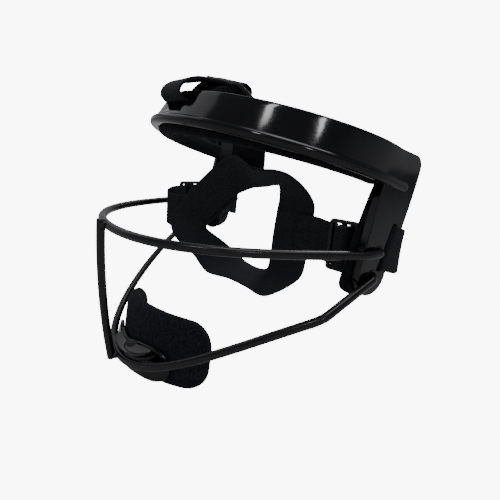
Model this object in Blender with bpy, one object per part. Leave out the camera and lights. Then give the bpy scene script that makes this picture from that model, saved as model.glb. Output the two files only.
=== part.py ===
"""Softball fielder's mask: a moulded brow frame with two legs, a welded wire cage, a chin cup,
foam pads and a webbing harness with a ponytail ring.

Metres, +Z up. The wearer looks along -Y and has the left side at +X. Every piece is worked out in
the mask's own measures, with the upper wire's plane at height 0 and the legs at depth 0, and is
then placed so that the origin is where the brow pad meets the forehead.
"""

import math

import bmesh
import bpy
from mathutils import Matrix, Vector

# Space left between two pieces that touch
GAP = 0.0003

# Brow band: seen from above it is a flat arch, tipped up at the front
HALF_WIDTH = 0.0875
BAND_TILT = math.radians(13.2)
BAND_REACH = 0.0928
BAND_STRAIGHT = 0.0090
BAND_END = -0.0070
BEAD_LEVEL = 0.0403
BEAD_RADIUS = 0.00265
PANEL_HEIGHT = 0.0147
PANEL_LEAN_FRONT = 0.0062
PANEL_LEAN_SIDE = 0.0
BAND_WALL = 0.0030
BAND_PROUD = 0.0002

# Legs: depth is counted backwards from the line of the wire holes
LEG_THICKNESS = 0.0050
LEG_TOP_FRONT = 0.0019
LEG_TOP_REAR = 0.0296
LEG_TOP_HEIGHT = 0.0440
LEG_CORNER = 0.0070
LEG_BOW = 0.0015
FOOT_DEPTH = 0.0049
FOOT_DROP = 0.0135
FOOT_RADIUS = 0.0116

# Webbing and its slots
WEB_WIDTH = 0.0254
WEB_THICKNESS = 0.0016
SLOT_ROOM = 0.0019
SLOT_WIDTH = 0.0046
SLOT_DEPTH = 0.0128
SLOT_HEIGHT = 0.0020
SLOT_LEAN = math.radians(16.0)
REAR_BAR = 0.0054
BROW_SLOT_DROP = 0.0057
BROW_SLOT_HEIGHT = 0.0052

# Wires
WIRE_DIAMETER = 0.00475
WIRE_REACH = 0.1119
WIRE_BEND = 0.0032
UPPER_HOLE_DEPTH = 0.0058
LOWER_HOLE_DEPTH = 0.0041
LOWER_HOLE_DROP = 0.0136
JAW_BEND_DEPTH = -0.0323
JAW_BEND_DROP = 0.0310
CLEAR_OF_LEG = -0.0088
JAW_REACH = 0.1059
JAW_DROP = 0.0800
CENTRE_BOW = 0.0018
CENTRE_OVERRUN = 0.0030
UPPER_WELD_SINK = 0.0017
LOWER_WELD_SINK = 0.0003
HOLE_ROOM = 0.0005

# Pads
BROW_PAD_THICKNESS = 0.0077
BROW_PAD_HANG_FRONT = 0.0034
BROW_PAD_HANG_SIDE = 0.0014
BROW_PAD_TOP = 0.0450
PAD_ROUND = 0.0028
LEG_PAD_WIDTH = 0.0125
LEG_PAD_OVERHANG = 0.0020
LEG_PAD_TOP = 0.0365
LEG_PAD_THIN = 0.0020
LEG_PAD_THICK = 0.0072

# Chin cup and its pad, bent round one upright axis and sitting a little askew on the wire
CUP_RADIUS = 0.0690
CUP_ARC = math.radians(34.0)
CUP_HEIGHT = 0.0205
CUP_WALL = 0.0025
CUP_CROWN = 0.0012
CUP_NOTCH = 0.0022
CUP_CLEARANCE = 0.0024
CUP_LEDGE_PAST_WIRE = 0.0004
CUP_LEDGE_THICKNESS = 0.0016
CHIN_ROLL = math.radians(6.5)
CHIN_PITCH = math.radians(-8.0)
CHIN_SINK = 0.0022
CHIN_YAW = math.radians(4.0)
CHIN_SHIFT = 0.0045
CHIN_PAD_ARC = math.radians(53.0)
CHIN_PAD_TOP = 0.0315
CHIN_PAD_BOTTOM = -0.0115
CHIN_PAD_THICKNESS = 0.0090
CHIN_PAD_CORNER = 0.0160

# Sliders
SLIDER_HEIGHT = 0.0310
SLIDER_LENGTH = 0.0195
SLIDER_THICKNESS = 0.0024
SLIDER_BAR = 0.0026
SLIDER_CORNER = 0.0025
SLIDER_WINDOW = 0.0264

# Where the side sliders hang: in from the leg's inner face, ahead of the wire holes' line and above the
# upper wire, for the left one and the right one. The top one is given from the band's front edge.
LEFT_SLIDER_INSIDE = 0.0180
LEFT_SLIDER_AHEAD = -0.0040
LEFT_SLIDER_ABOVE = -0.0030
RIGHT_SLIDER_INSIDE = 0.0135
RIGHT_SLIDER_AHEAD = 0.0300
RIGHT_SLIDER_ABOVE = 0.0010
TOP_SLIDER_SIDEWAYS = 0.0025
TOP_SLIDER_BEHIND = 0.0391
TOP_SLIDER_ABOVE = 0.0176

# Harness ring, which hangs turned towards one side
RING_TURN = math.radians(30.0)
RING_WIDTH = 0.0980
RING_HEIGHT = 0.0610
RING_OFFSET = 0.0086
RING_FORWARD = 0.0210
RING_DROP = 0.0040

# Loops that the straps make round the legs' rear bars and over the brow
LEG_LOOPS = {1: 0.0076, -1: 0.0046}
LEG_LOOP_LEAN = math.radians(-10.0)
BROW_LOOP_REACH = 0.0068
BROW_LOOP_RISE = 0.0158

BAND_STEPS = 18
WIRE_STEPS = 16
TUBE_SIDES = 10


# Curves

def bezier(a, b, c, d, steps):
    """Points along a cubic from a to d, with handles b and c."""
    points = []
    for i in range(steps + 1):
        t = i / steps
        u = 1 - t
        points.append(a * u**3 + b * (3 * u * u * t) + c * (3 * u * t * t) + d * t**3)
    return points


def smooth(points, steps):
    """A curve through all the points, with this many steps from each to the next."""
    last = len(points) - 1
    found = []
    for i in range(last):
        p = [points[min(max(i + k, 0), last)] for k in (-1, 0, 1, 2)]
        for j in range(steps):
            t = j / steps
            found.append(
                0.5 * (2 * p[1] + (p[2] - p[0]) * t
                       + (2 * p[0] - 5 * p[1] + 4 * p[2] - p[3]) * t**2
                       + (3 * p[1] - p[0] - 3 * p[2] + p[3]) * t**3)
            )
    found.append(points[-1])
    return found


def directions(points, loop=False):
    """The unit direction of travel at each point."""
    count = len(points)
    found = []
    for i in range(count):
        before = points[(i - 1) % count] if loop else points[max(i - 1, 0)]
        after = points[(i + 1) % count] if loop else points[min(i + 1, count - 1)]
        found.append((after - before).normalized())
    return found


def arc(centre, radius, start, end, steps):
    """Points on a circle in the plane, as (first, second) pairs."""
    return [
        (centre[0] + radius * math.cos(start + (end - start) * i / steps),
         centre[1] + radius * math.sin(start + (end - start) * i / steps))
        for i in range(steps + 1)
    ]


# Meshes

def material(name, colour, roughness):
    """A Principled material with these values."""
    made = bpy.data.materials.new(name)
    made.use_nodes = True
    shader = made.node_tree.nodes["Principled BSDF"]
    shader.inputs["Base Color"].default_value = (*colour, 1.0)
    shader.inputs["Roughness"].default_value = roughness
    shader.inputs["Metallic"].default_value = 0.0
    made.diffuse_color = (*colour, 1.0)
    return made


def add_object(name, bm, finish):
    """A smooth-shaded object with the mesh of bm, facing out."""
    bmesh.ops.recalc_face_normals(bm, faces=bm.faces)
    mesh = bpy.data.meshes.new(name)
    bm.to_mesh(mesh)
    bm.free()
    mesh.materials.append(finish)
    mesh.shade_smooth()
    mesh.set_sharp_from_angle(angle=math.radians(35))
    made = bpy.data.objects.new(name, mesh)
    made.location = -ORIGIN
    bpy.context.scene.collection.objects.link(made)
    return made


def loft(name, rings, finish):
    """A closed body through rings of as many points each, capped at its ends."""
    bm = bmesh.new()
    rows = [[bm.verts.new(p) for p in ring] for ring in rings]
    sides = len(rows[0])
    for one, two in zip(rows, rows[1:]):
        for j in range(sides):
            k = (j + 1) % sides
            bm.faces.new((one[j], one[k], two[k], two[j]))
    bm.faces.new(rows[0])
    bm.faces.new(rows[-1])
    return add_object(name, bm, finish)


def tube(name, points, diameter, finish):
    """A round rod along the points, with flat ends."""
    ways = directions(points)
    across = ways[0].orthogonal().normalized()
    rings = []
    for point, way in zip(points, ways):
        across = (across - way * across.dot(way)).normalized()
        up = way.cross(across)
        rings.append([
            point + (across * math.cos(a) + up * math.sin(a)) * (diameter / 2)
            for a in (2 * math.pi * k / TUBE_SIDES for k in range(TUBE_SIDES))
        ])
    return loft(name, rings, finish)


def ball(name, centre, radius, finish):
    """A round blob, such as a weld."""
    bm = bmesh.new()
    bmesh.ops.create_uvsphere(bm, u_segments=12, v_segments=8, radius=radius)
    bmesh.ops.translate(bm, verts=bm.verts, vec=centre)
    return add_object(name, bm, finish)


def block(name, size, place, finish):
    """A box of this size with its middle at the origin of the matrix place."""
    bm = bmesh.new()
    bmesh.ops.create_cube(bm, size=1.0)
    bmesh.ops.scale(bm, vec=size, verts=bm.verts)
    bmesh.ops.transform(bm, matrix=place, verts=bm.verts)
    return add_object(name, bm, finish)


def combine(target, tool, operation):
    """Joins the tool to the target or cuts it away, and hides the tool."""
    change = target.modifiers.new(tool.name, "BOOLEAN")
    change.operation = operation
    change.object = tool
    tool.hide_render = True
    tool.display_type = "WIRE"


def webbing(name, path, finish):
    """A strip of webbing along a path of (middle, width vector) pairs, the vector as long as the
    strip is wide. Both faces are split along the same diagonals, so that a twist keeps its thickness."""
    bm = bmesh.new()
    rows = []
    for (point, width), way in zip(path, directions([point for point, _ in path])):
        rise = way.cross(width).normalized() * (WEB_THICKNESS / 2)
        half = width / 2
        corners = (point - half - rise, point + half - rise, point + half + rise, point - half + rise)
        rows.append([bm.verts.new(corner) for corner in corners])
    for one, two in zip(rows, rows[1:]):
        for a, b, c, d in (
            (one[0], one[1], two[1], two[0]),
            (one[1], one[2], two[2], two[1]),
            (one[3], two[3], two[2], one[2]),
            (one[0], two[0], two[3], one[3]),
        ):
            bm.faces.new((a, b, c))
            bm.faces.new((a, c, d))
    bm.faces.new(rows[0])
    bm.faces.new(rows[-1])
    add_object(name, bm, finish)


# Brow band and legs

def band_point(x, forward, level):
    """A point given in the tipped plane of the band."""
    return Vector((
        x,
        -forward * math.cos(BAND_TILT) + level * math.sin(BAND_TILT),
        forward * math.sin(BAND_TILT) + level * math.cos(BAND_TILT),
    ))


# Where the middle of the forehead rests against the brow pad
ORIGIN = band_point(
    0.0,
    BAND_REACH - BAND_WALL - GAP - BROW_PAD_THICKNESS,
    BEAD_LEVEL - BEAD_RADIUS,
)


def band_line():
    """The band's outer line above the bead, from the wearer's left to the right, as (x, forward).
    It is straight along the legs and then one curve round the brow."""
    side = HALF_WIDTH + BAND_PROUD
    half = [Vector((side, BAND_END, 0.0))] + bezier(
        Vector((side, BAND_STRAIGHT, 0.0)),
        Vector((side, BAND_STRAIGHT + 0.43 * (BAND_REACH - BAND_STRAIGHT), 0.0)),
        Vector((0.55 * HALF_WIDTH, BAND_REACH, 0.0)),
        Vector((0.0, BAND_REACH, 0.0)),
        BAND_STEPS,
    )
    return half + [Vector((-p.x, p.y, 0.0)) for p in reversed(half[:-1])]


def band_stations():
    """Each point of the band's line with its outward direction and how far the panel leans in there."""
    line = band_line()
    stations = []
    for point, way in zip(line, directions(line)):
        out = Vector((-way.y, way.x, 0.0))
        if out.dot(point - Vector((0.0, BAND_STRAIGHT, 0.0))) < 0:
            out = -out
        lean = PANEL_LEAN_SIDE + (PANEL_LEAN_FRONT - PANEL_LEAN_SIDE) * out.y**2
        stations.append((point, out, lean))
    return stations


def sweep_band(name, stations, profile, finish):
    """A body along the band, from a profile of (outward, level) points that may depend on the lean."""
    rings = []
    for point, out, lean in stations:
        rings.append([
            band_point(point.x + out.x * o, point.y + out.y * o, level) for o, level in profile(lean)
        ])
    return loft(name, rings, finish)


def panel_inset(lean, level):
    """How far the panel has leant in at this level."""
    return lean * max(0.0, (level - BEAD_LEVEL) / PANEL_HEIGHT)


def band_profile(lean):
    """The band's section: a half-round bead, and a panel that leans in above it."""
    top = BEAD_LEVEL + PANEL_HEIGHT
    bead = arc((0.0, BEAD_LEVEL - BEAD_RADIUS), BEAD_RADIUS, -math.pi / 2, math.pi / 2, 6)
    edge = 0.0009
    return bead + [
        (-panel_inset(lean, top - edge), top - edge),
        (-lean - edge, top),
        (-lean - BAND_WALL + edge, top),
        (-panel_inset(lean, top - edge) - BAND_WALL, top - edge),
        (-BAND_WALL, BEAD_LEVEL),
        (-BAND_WALL, BEAD_LEVEL - 2 * BEAD_RADIUS),
    ]


def leg_edge(height, rear):
    """How far back the leg's front or rear edge is at this height: a slightly bowed line from top to foot."""
    top, side, bow = (LEG_TOP_REAR, 1, LEG_BOW) if rear else (LEG_TOP_FRONT, -1, -LEG_BOW)
    low = FOOT_DEPTH + side * FOOT_RADIUS
    share = (height + FOOT_DROP) / (LEG_TOP_HEIGHT + FOOT_DROP)
    return low + (top - low) * share + bow * 4 * share * (1 - share)


def leg_outline():
    """The leg from the side, as (depth, height): a rounded foot, two long edges and a rounded top corner."""
    top = BEAD_LEVEL + PANEL_HEIGHT - 0.0005
    steps = 5
    heights = [-FOOT_DROP + (LEG_TOP_HEIGHT + FOOT_DROP) * i / steps for i in range(1, steps + 1)]
    foot = arc((FOOT_DEPTH, -FOOT_DROP), FOOT_RADIUS, math.pi, 2 * math.pi, 10)
    rear = [(leg_edge(h, True), h) for h in heights]
    corner = arc((LEG_TOP_REAR - LEG_CORNER, LEG_TOP_HEIGHT + 0.001), LEG_CORNER, 0.0, math.pi / 2, 4)
    tip = band_point(0.0, 0.0, top)
    rise = tip.z - (LEG_TOP_FRONT + 0.001 - tip.y) * math.tan(BAND_TILT)
    front = [(LEG_TOP_FRONT + 0.001, rise)] + [(leg_edge(h, False), h) for h in reversed(heights)]
    return foot + rear + corner[1:] + front


def leg_body(name, side, finish):
    """One leg as a flat plate with eased edges."""
    outer = HALF_WIDTH * side
    inner = (HALF_WIDTH - LEG_THICKNESS) * side
    outline = [Vector((0.0, d, h)) for d, h in leg_outline()]
    middle = sum(outline, Vector()) / len(outline)
    ease = 0.0009
    rings = []
    for x, inset in ((outer, ease), (outer - ease * side, 0.0), (inner + ease * side, 0.0), (inner, ease)):
        ring = []
        for point, way in zip(outline, directions(outline, True)):
            out = Vector((0.0, way.z, -way.y))
            if out.dot(point - middle) < 0:
                out = -out
            ring.append(point - out * inset + Vector((x, 0.0, 0.0)))
        rings.append(ring)
    return loft(name, rings, finish)


def slot_place(side):
    """Middle of a leg's slot, turned so that its local Z runs along the slot."""
    middle = Vector(((HALF_WIDTH - LEG_THICKNESS / 2) * side, SLOT_DEPTH, SLOT_HEIGHT))
    return Matrix.Translation(middle) @ Matrix.Rotation(-SLOT_LEAN, 4, "X")


def brow_slot_place():
    """Middle of the slot at the top of the forehead, in the leaning panel."""
    level = BEAD_LEVEL + PANEL_HEIGHT - BROW_SLOT_DROP
    forward = BAND_REACH - panel_inset(PANEL_LEAN_FRONT, level) - BAND_WALL / 2
    lean = math.atan2(PANEL_LEAN_FRONT, PANEL_HEIGHT)
    return Matrix.Translation(band_point(0.0, forward, level)) @ Matrix.Rotation(-BAND_TILT - lean, 4, "X")


def build_frame(finish):
    """The moulding: band, two legs, and its slots and wire holes cut through."""
    frame = sweep_band("frame", band_stations(), band_profile, finish)
    for side, word in ((1, "left"), (-1, "right")):
        combine(frame, leg_body(f"tool_leg_{word}", side, finish), "UNION")
        end = band_point((HALF_WIDTH + BAND_PROUD) * side, BAND_END, BEAD_LEVEL - BEAD_RADIUS)
        combine(frame, ball(f"tool_nub_{word}", end, BEAD_RADIUS, finish), "UNION")
        size = Vector((4 * LEG_THICKNESS, SLOT_WIDTH, WEB_WIDTH + SLOT_ROOM))
        combine(frame, block(f"tool_slot_{word}", size, slot_place(side), finish), "DIFFERENCE")
        for hole, depth, drop in (
            ("upper", UPPER_HOLE_DEPTH, 0.0),
            ("lower", LOWER_HOLE_DEPTH, LOWER_HOLE_DROP),
        ):
            ends = [Vector(((HALF_WIDTH + k * 2 * LEG_THICKNESS) * side, depth, -drop)) for k in (-1, 1)]
            drill = tube(f"tool_{hole}_hole_{word}", ends, WIRE_DIAMETER + 2 * HOLE_ROOM, finish)
            combine(frame, drill, "DIFFERENCE")
    size = Vector((WEB_WIDTH + SLOT_ROOM, 4 * BAND_WALL, BROW_SLOT_HEIGHT))
    combine(frame, block("tool_brow_slot", size, brow_slot_place(), finish), "DIFFERENCE")


# Wire cage

WIRE_X = HALF_WIDTH + GAP + WIRE_DIAMETER / 2


def wire_end(depth, drop, way):
    """The wire's last stretch: out of the hole in the leg, and round a bend to run along the leg."""
    start = Vector((HALF_WIDTH - 0.75 * LEG_THICKNESS, depth, -drop))
    pivot = Vector((WIRE_X - WIRE_BEND, depth, -drop)) + way * WIRE_BEND
    points = [start]
    for i in range(6):
        angle = math.pi / 2 * i / 5
        out = Vector((math.sin(angle), 0.0, 0.0))
        points.append(pivot + (out - way * math.cos(angle)) * WIRE_BEND)
    return points


def mirrored(half):
    """The half from the wearer's left, and then the same on the right."""
    return half + [Vector((-p.x, p.y, p.z)) for p in reversed(half[:-1])]


def upper_wire():
    """From a leg, level and round below the eyes, to the other leg."""
    ahead = Vector((0.0, -1.0, 0.0))
    half = wire_end(UPPER_HOLE_DEPTH, 0.0, ahead) + bezier(
        Vector((WIRE_X, CLEAR_OF_LEG, 0.0)),
        Vector((0.85 * WIRE_X, -0.38 * WIRE_REACH, 0.0)),
        Vector((0.72 * WIRE_X, -WIRE_REACH, 0.0)),
        Vector((0.0, -WIRE_REACH, 0.0)),
        WIRE_STEPS,
    )
    return mirrored(half)


def lower_wire():
    """From a leg, forward and down to a bend, and round the jaw."""
    bend = Vector((WIRE_X, JAW_BEND_DEPTH, -JAW_BEND_DROP))
    hole = Vector((WIRE_X, LOWER_HOLE_DEPTH, -LOWER_HOLE_DROP))
    way = (bend - hole).normalized()
    half = wire_end(LOWER_HOLE_DEPTH, LOWER_HOLE_DROP, way) + [
        hole.lerp(bend, 0.35), hole.lerp(bend, 0.65), hole.lerp(bend, 0.93)
    ] + bezier(
        bend,
        Vector((0.70 * WIRE_X, -0.705 * JAW_REACH, -0.665 * JAW_DROP)),
        Vector((0.438 * WIRE_X, -JAW_REACH, -JAW_DROP)),
        Vector((0.0, -JAW_REACH, -JAW_DROP)),
        WIRE_STEPS,
    )[1:]
    return mirrored(half)


def centre_wire():
    """Down the middle, laid against the outside of the other two, with its ends standing past them."""
    top = Vector((0.0, UPPER_WELD_SINK - WIRE_DIAMETER - WIRE_REACH, 0.0))
    foot = Vector((0.0, LOWER_WELD_SINK - WIRE_DIAMETER - JAW_REACH, -JAW_DROP))
    over = CENTRE_OVERRUN / (top - foot).length
    points = []
    for i in range(9):
        share = -over + (1 + 2 * over) * i / 8
        points.append(top.lerp(foot, share) + Vector((0.0, -4 * CENTRE_BOW * share * (1 - share), 0.0)))
    return points


def build_cage(finish):
    """The three wires, welded into one."""
    cage = tube("wire_cage", upper_wire(), WIRE_DIAMETER, finish)
    combine(cage, tube("tool_lower_wire", lower_wire(), WIRE_DIAMETER, finish), "UNION")
    combine(cage, tube("tool_centre_wire", centre_wire(), WIRE_DIAMETER * 0.98, finish), "UNION")
    for word, reach, drop in (("upper", WIRE_REACH, 0.0), ("lower", JAW_REACH, JAW_DROP)):
        for side in (-1, 1):
            middle = Vector((0.45 * WIRE_DIAMETER * side, -reach - 0.45 * WIRE_DIAMETER, -drop))
            weld = ball(f"tool_{word}_weld_{side + 1}", middle, 0.42 * WIRE_DIAMETER, finish)
            combine(cage, weld, "UNION")


# Pads

def brow_pad_profile(lean):
    """The brow pad's section: against the panel's inner face, with its lower edges rounded."""
    front = (lean - PANEL_LEAN_SIDE) / (PANEL_LEAN_FRONT - PANEL_LEAN_SIDE)
    hang = BROW_PAD_HANG_SIDE + (BROW_PAD_HANG_FRONT - BROW_PAD_HANG_SIDE) * front
    low = BEAD_LEVEL - 2 * BEAD_RADIUS - hang
    top = BROW_PAD_TOP
    back = -BAND_WALL - GAP
    face = back - BROW_PAD_THICKNESS
    lift = panel_inset(lean, top)
    return (
        arc((back - PAD_ROUND, low + PAD_ROUND), PAD_ROUND, 0.0, -math.pi / 2, 3)
        + arc((face + PAD_ROUND, low + PAD_ROUND), PAD_ROUND, -math.pi / 2, -math.pi, 3)
        + [(face - 0.4 * lift, top - PAD_ROUND), (face + PAD_ROUND / 2 - lift, top),
           (back - PAD_ROUND / 3 - lift, top), (back - lift, top - PAD_ROUND / 2),
           (back, BEAD_LEVEL)]
    )


def build_brow_pad(finish):
    """Foam round the inside of the band, from leg to leg."""
    sweep_band("brow_pad", band_stations()[1:-1], brow_pad_profile, finish)


def build_leg_pad(name, side, finish):
    """Foam on a leg's inner face: a strip with a rounded foot, thicker towards the foot."""
    half = LEG_PAD_WIDTH / 2
    foot_depth = FOOT_DEPTH - FOOT_RADIUS - LEG_PAD_OVERHANG + half
    outline = arc((foot_depth, -FOOT_DROP - FOOT_RADIUS + half), half, math.pi, 2 * math.pi, 8)
    steps = 5
    levels = [-FOOT_DROP + (LEG_PAD_TOP + FOOT_DROP) * i / steps for i in range(steps + 1)]
    drop = LEG_PAD_TOP + FOOT_DROP
    front = [(leg_edge(h, False) - LEG_PAD_OVERHANG * (LEG_PAD_TOP - h) / drop, h) for h in levels]
    rear = [(d + LEG_PAD_WIDTH, h) for d, h in front]
    outline = outline + rear + list(reversed(front))
    points = [Vector((0.0, d, h)) for d, h in outline]
    middle = sum(points, Vector()) / len(points)
    seat = HALF_WIDTH - LEG_THICKNESS - GAP
    ease = 0.0015
    rings = []
    for share, shrink in ((0.0, ease / 2), (0.15, 0.0), (0.75, 0.0), (1.0, ease)):
        ring = []
        for point in points:
            fall = (LEG_PAD_TOP - point.z) / (LEG_PAD_TOP + FOOT_DROP + FOOT_RADIUS)
            thick = LEG_PAD_THIN + (LEG_PAD_THICK - LEG_PAD_THIN) * fall
            towards = (middle - point)
            shift = Vector((0.0, towards.y, towards.z)).normalized() * shrink
            ring.append(point + shift + Vector(((seat - thick * share) * side, 0.0, 0.0)))
        rings.append(ring)
    loft(name, rings, finish)


# Chin cup and pad

def chin_place():
    """The cup's frame: its front wall at the lower wire's middle, turned a little on the wire."""
    front = Vector((-CHIN_SHIFT, -JAW_REACH + WIRE_DIAMETER / 2 + CUP_CLEARANCE, -JAW_DROP - CHIN_SINK))
    return (
        Matrix.Translation(front)
        @ Matrix.Rotation(CHIN_YAW, 4, "Z")
        @ Matrix.Rotation(-CHIN_ROLL, 4, "Y")
        @ Matrix.Rotation(CHIN_PITCH, 4, "X")
    )


def on_cup(angle, radius, height):
    """A point on a surface round the cup's upright axis."""
    return Vector((radius * math.sin(angle), CUP_RADIUS - radius * math.cos(angle), height))


def cup_section(share):
    """Top and bottom of the cup at a share of its arc, from -1 to 1: rounded ends and a dip in the middle."""
    straight = 0.62
    past = max(0.0, abs(share) - straight) / (1 - straight)
    half = CUP_HEIGHT / 2 * math.sqrt(max(0.03, 1 - past * past))
    dip = CUP_NOTCH * math.exp(-((share / 0.22) ** 2))
    return half - dip, -half


def build_chin_cup(finish):
    """A curved hard shell behind the lower wire. Its face sweeps out to a ledge that sits on the wire."""
    place = chin_place()
    rings = []
    steps = 26
    for i in range(steps + 1):
        share = -1 + 2 * i / steps
        angle = share * CUP_ARC
        top, low = cup_section(share)
        outer = []
        inner = []
        for k in range(5):
            height = low + (top - low) * k / 4
            crown = CUP_CROWN * (2 * height / CUP_HEIGHT) ** 2
            outer.append(on_cup(angle, CUP_RADIUS - crown, height))
            inner.append(on_cup(angle, CUP_RADIUS - CUP_WALL - crown, height))
        rings.append([place @ p for p in outer + list(reversed(inner))])
    cup = loft("chin_cup", rings, finish)
    back = place.inverted()
    ledge = []
    for point in lower_wire():
        local = back @ point
        angle = math.atan2(local.x, CUP_RADIUS - local.y)
        seat = local.z + WIRE_DIAMETER / 2 + GAP
        high = seat + CUP_LEDGE_THICKNESS
        if point.y < -0.5 * JAW_REACH and abs(angle) < 0.82 * CUP_ARC and high < 0.43 * CUP_HEIGHT:
            near = CUP_RADIUS - 0.6 * CUP_WALL
            far = math.hypot(local.x, CUP_RADIUS - local.y) + CUP_LEDGE_PAST_WIRE
            sweep = high + 0.75 * (cup_section(angle / CUP_ARC)[0] - high)
            section = ((near, seat), (far, seat), (far, high), (near, sweep))
            ledge.append([place @ on_cup(angle, r, h) for r, h in section])
    combine(cup, loft("tool_cup_ledge", ledge, finish), "UNION")


def chin_pad_span(share):
    """Top and bottom of the chin pad at a share of its arc, with rounded corners."""
    width = CUP_RADIUS * CHIN_PAD_ARC
    past = max(0.0, abs(share) * width - (width - CHIN_PAD_CORNER))
    drop = CHIN_PAD_CORNER - math.sqrt(max(0.0, CHIN_PAD_CORNER**2 - past**2))
    slope = 0.0030 * share * share
    return CHIN_PAD_TOP - slope - drop, CHIN_PAD_BOTTOM + 0.8 * drop


def build_chin_pad(finish):
    """Felt-faced foam bent round the chin, its rim rounded all the way."""
    place = chin_place()
    seat = CUP_RADIUS - CUP_WALL - CUP_CROWN - GAP
    rings = []
    steps = 22
    for i in range(steps + 1):
        share = math.sin(math.pi / 2 * (-1 + 2 * i / steps))
        angle = share * CHIN_PAD_ARC
        top, low = chin_pad_span(share)
        middle = (top + low) / 2
        half = (top - low) / 2
        belly = CHIN_PAD_THICKNESS / 2
        end = math.sqrt(max(0.12, 1 - max(0.0, (abs(share) - 0.93) / 0.07) ** 2))
        ring = []
        for k in range(14):
            turn = 2 * math.pi * k / 14
            across = math.copysign(abs(math.cos(turn)) ** 0.45, math.cos(turn))
            along = math.copysign(abs(math.sin(turn)) ** 0.45, math.sin(turn))
            ring.append(place @ on_cup(angle, seat - belly + belly * end * across, middle + half * along))
        rings.append(ring)
    loft("chin_pad", rings, finish)


# Sliders

def slider_bar_gap():
    """Free space between two bars."""
    return (SLIDER_LENGTH - 3 * SLIDER_BAR) / 2


def build_slider(name, place, finish):
    """A three-bar slider: local X runs along the webbing, local Y across it and local Z out of its face."""
    half = Vector((SLIDER_LENGTH / 2 - SLIDER_CORNER, SLIDER_HEIGHT / 2 - SLIDER_CORNER))
    outline = []
    for quarter, (sx, sy) in enumerate(((1, 1), (-1, 1), (-1, -1), (1, -1))):
        start = quarter * math.pi / 2
        outline += arc((half.x * sx, half.y * sy), SLIDER_CORNER, start, start + math.pi / 2, 3)
    rings = [
        [place @ Vector((x, y, z)) for x, y in outline]
        for z in (-SLIDER_THICKNESS / 2, SLIDER_THICKNESS / 2)
    ]
    slider = loft(name, rings, finish)
    for side in (-1, 1):
        middle = Matrix.Translation((side * (SLIDER_BAR + slider_bar_gap()) / 2, 0.0, 0.0))
        size = Vector((slider_bar_gap(), SLIDER_WINDOW, 3 * SLIDER_THICKNESS))
        window = block(f"tool_{name}_window_{side + 1}", size, place @ middle, finish)
        combine(slider, window, "DIFFERENCE")


# Runs of webbing, as (middle, width vector) pairs

LAYER = WEB_THICKNESS + GAP
HUG = GAP + WEB_THICKNESS / 2


def in_slider(place, outline):
    """A run from (along, out) points in a slider's frame."""
    across = (place.to_3x3() @ Vector((0.0, 1.0, 0.0))).normalized() * WEB_WIDTH
    return [(place @ Vector((x, 0.0, z)), across) for x, z in outline]


def threaded(place):
    """The webbing through a slider: behind its first bar, over the middle one and the loop sewn
    round that, and behind its last."""
    edge = SLIDER_LENGTH / 2 - SLIDER_BAR
    half = SLIDER_BAR / 2
    deep = SLIDER_THICKNESS / 2
    end = SLIDER_LENGTH / 2 + GAP
    quarter = math.pi / 2
    return in_slider(
        place,
        [(-end, -deep - HUG)]
        + arc((-edge, -deep), HUG, -quarter, 0.0, 3)
        + arc((-half, deep), HUG + LAYER, 2 * quarter, quarter, 4)
        + arc((half, deep), HUG + LAYER, quarter, 0.0, 4)
        + arc((edge, -deep), HUG, 2 * quarter, 3 * quarter, 3)
        + [(end, -deep - HUG)],
    )


def sewn_round(place):
    """The webbing's end: in below the last bar, once round the middle one and stitched there."""
    half = SLIDER_BAR / 2
    deep = SLIDER_THICKNESS / 2
    end = SLIDER_LENGTH / 2 + GAP
    quarter = math.pi / 2
    bend = LAYER
    return in_slider(
        place,
        [(end, -deep - HUG - LAYER)]
        + arc((half + HUG + bend, -deep - HUG - LAYER + bend), bend, -quarter, -2 * quarter, 3)
        + arc((half, deep), HUG, 0.0, quarter, 3)
        + arc((-half, deep), HUG, quarter, 2 * quarter, 3)
        + arc((-half, -deep), HUG, 2 * quarter, 3 * quarter, 3)
        + [(0.0, -deep - HUG)],
    )


def link(run, other, pull):
    """The points between two runs: one curve that leaves and meets them along their own lines."""
    leave = (run[-1][0] - run[-2][0]).normalized() * pull
    meet = (other[1][0] - other[0][0]).normalized() * pull
    steps = 7
    points = bezier(run[-1][0], run[-1][0] + leave, other[0][0] - meet, other[0][0], steps)
    return [
        (point, run[-1][1].lerp(other[0][1], i / steps)) for i, point in enumerate(points) if 0 < i < steps
    ]


def joined(runs, pulls):
    """One path through all the runs, linked with these pulls."""
    path = list(runs[0])
    for run, pull in zip(runs[1:], pulls):
        path += link(path, run, pull) + run
    return path


# Harness ring

def ring_place():
    """The ring's frame: local X across it towards the wearer's left, local Y up, local Z out to the front."""
    across = Vector((math.cos(RING_TURN), math.sin(RING_TURN), 0.0))
    up = Vector((0.0, 0.0, 1.0))
    turned = Matrix((across, up, across.cross(up))).transposed().to_4x4()
    return Matrix.Translation((-RING_OFFSET, -RING_FORWARD, -RING_DROP)) @ turned


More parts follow.
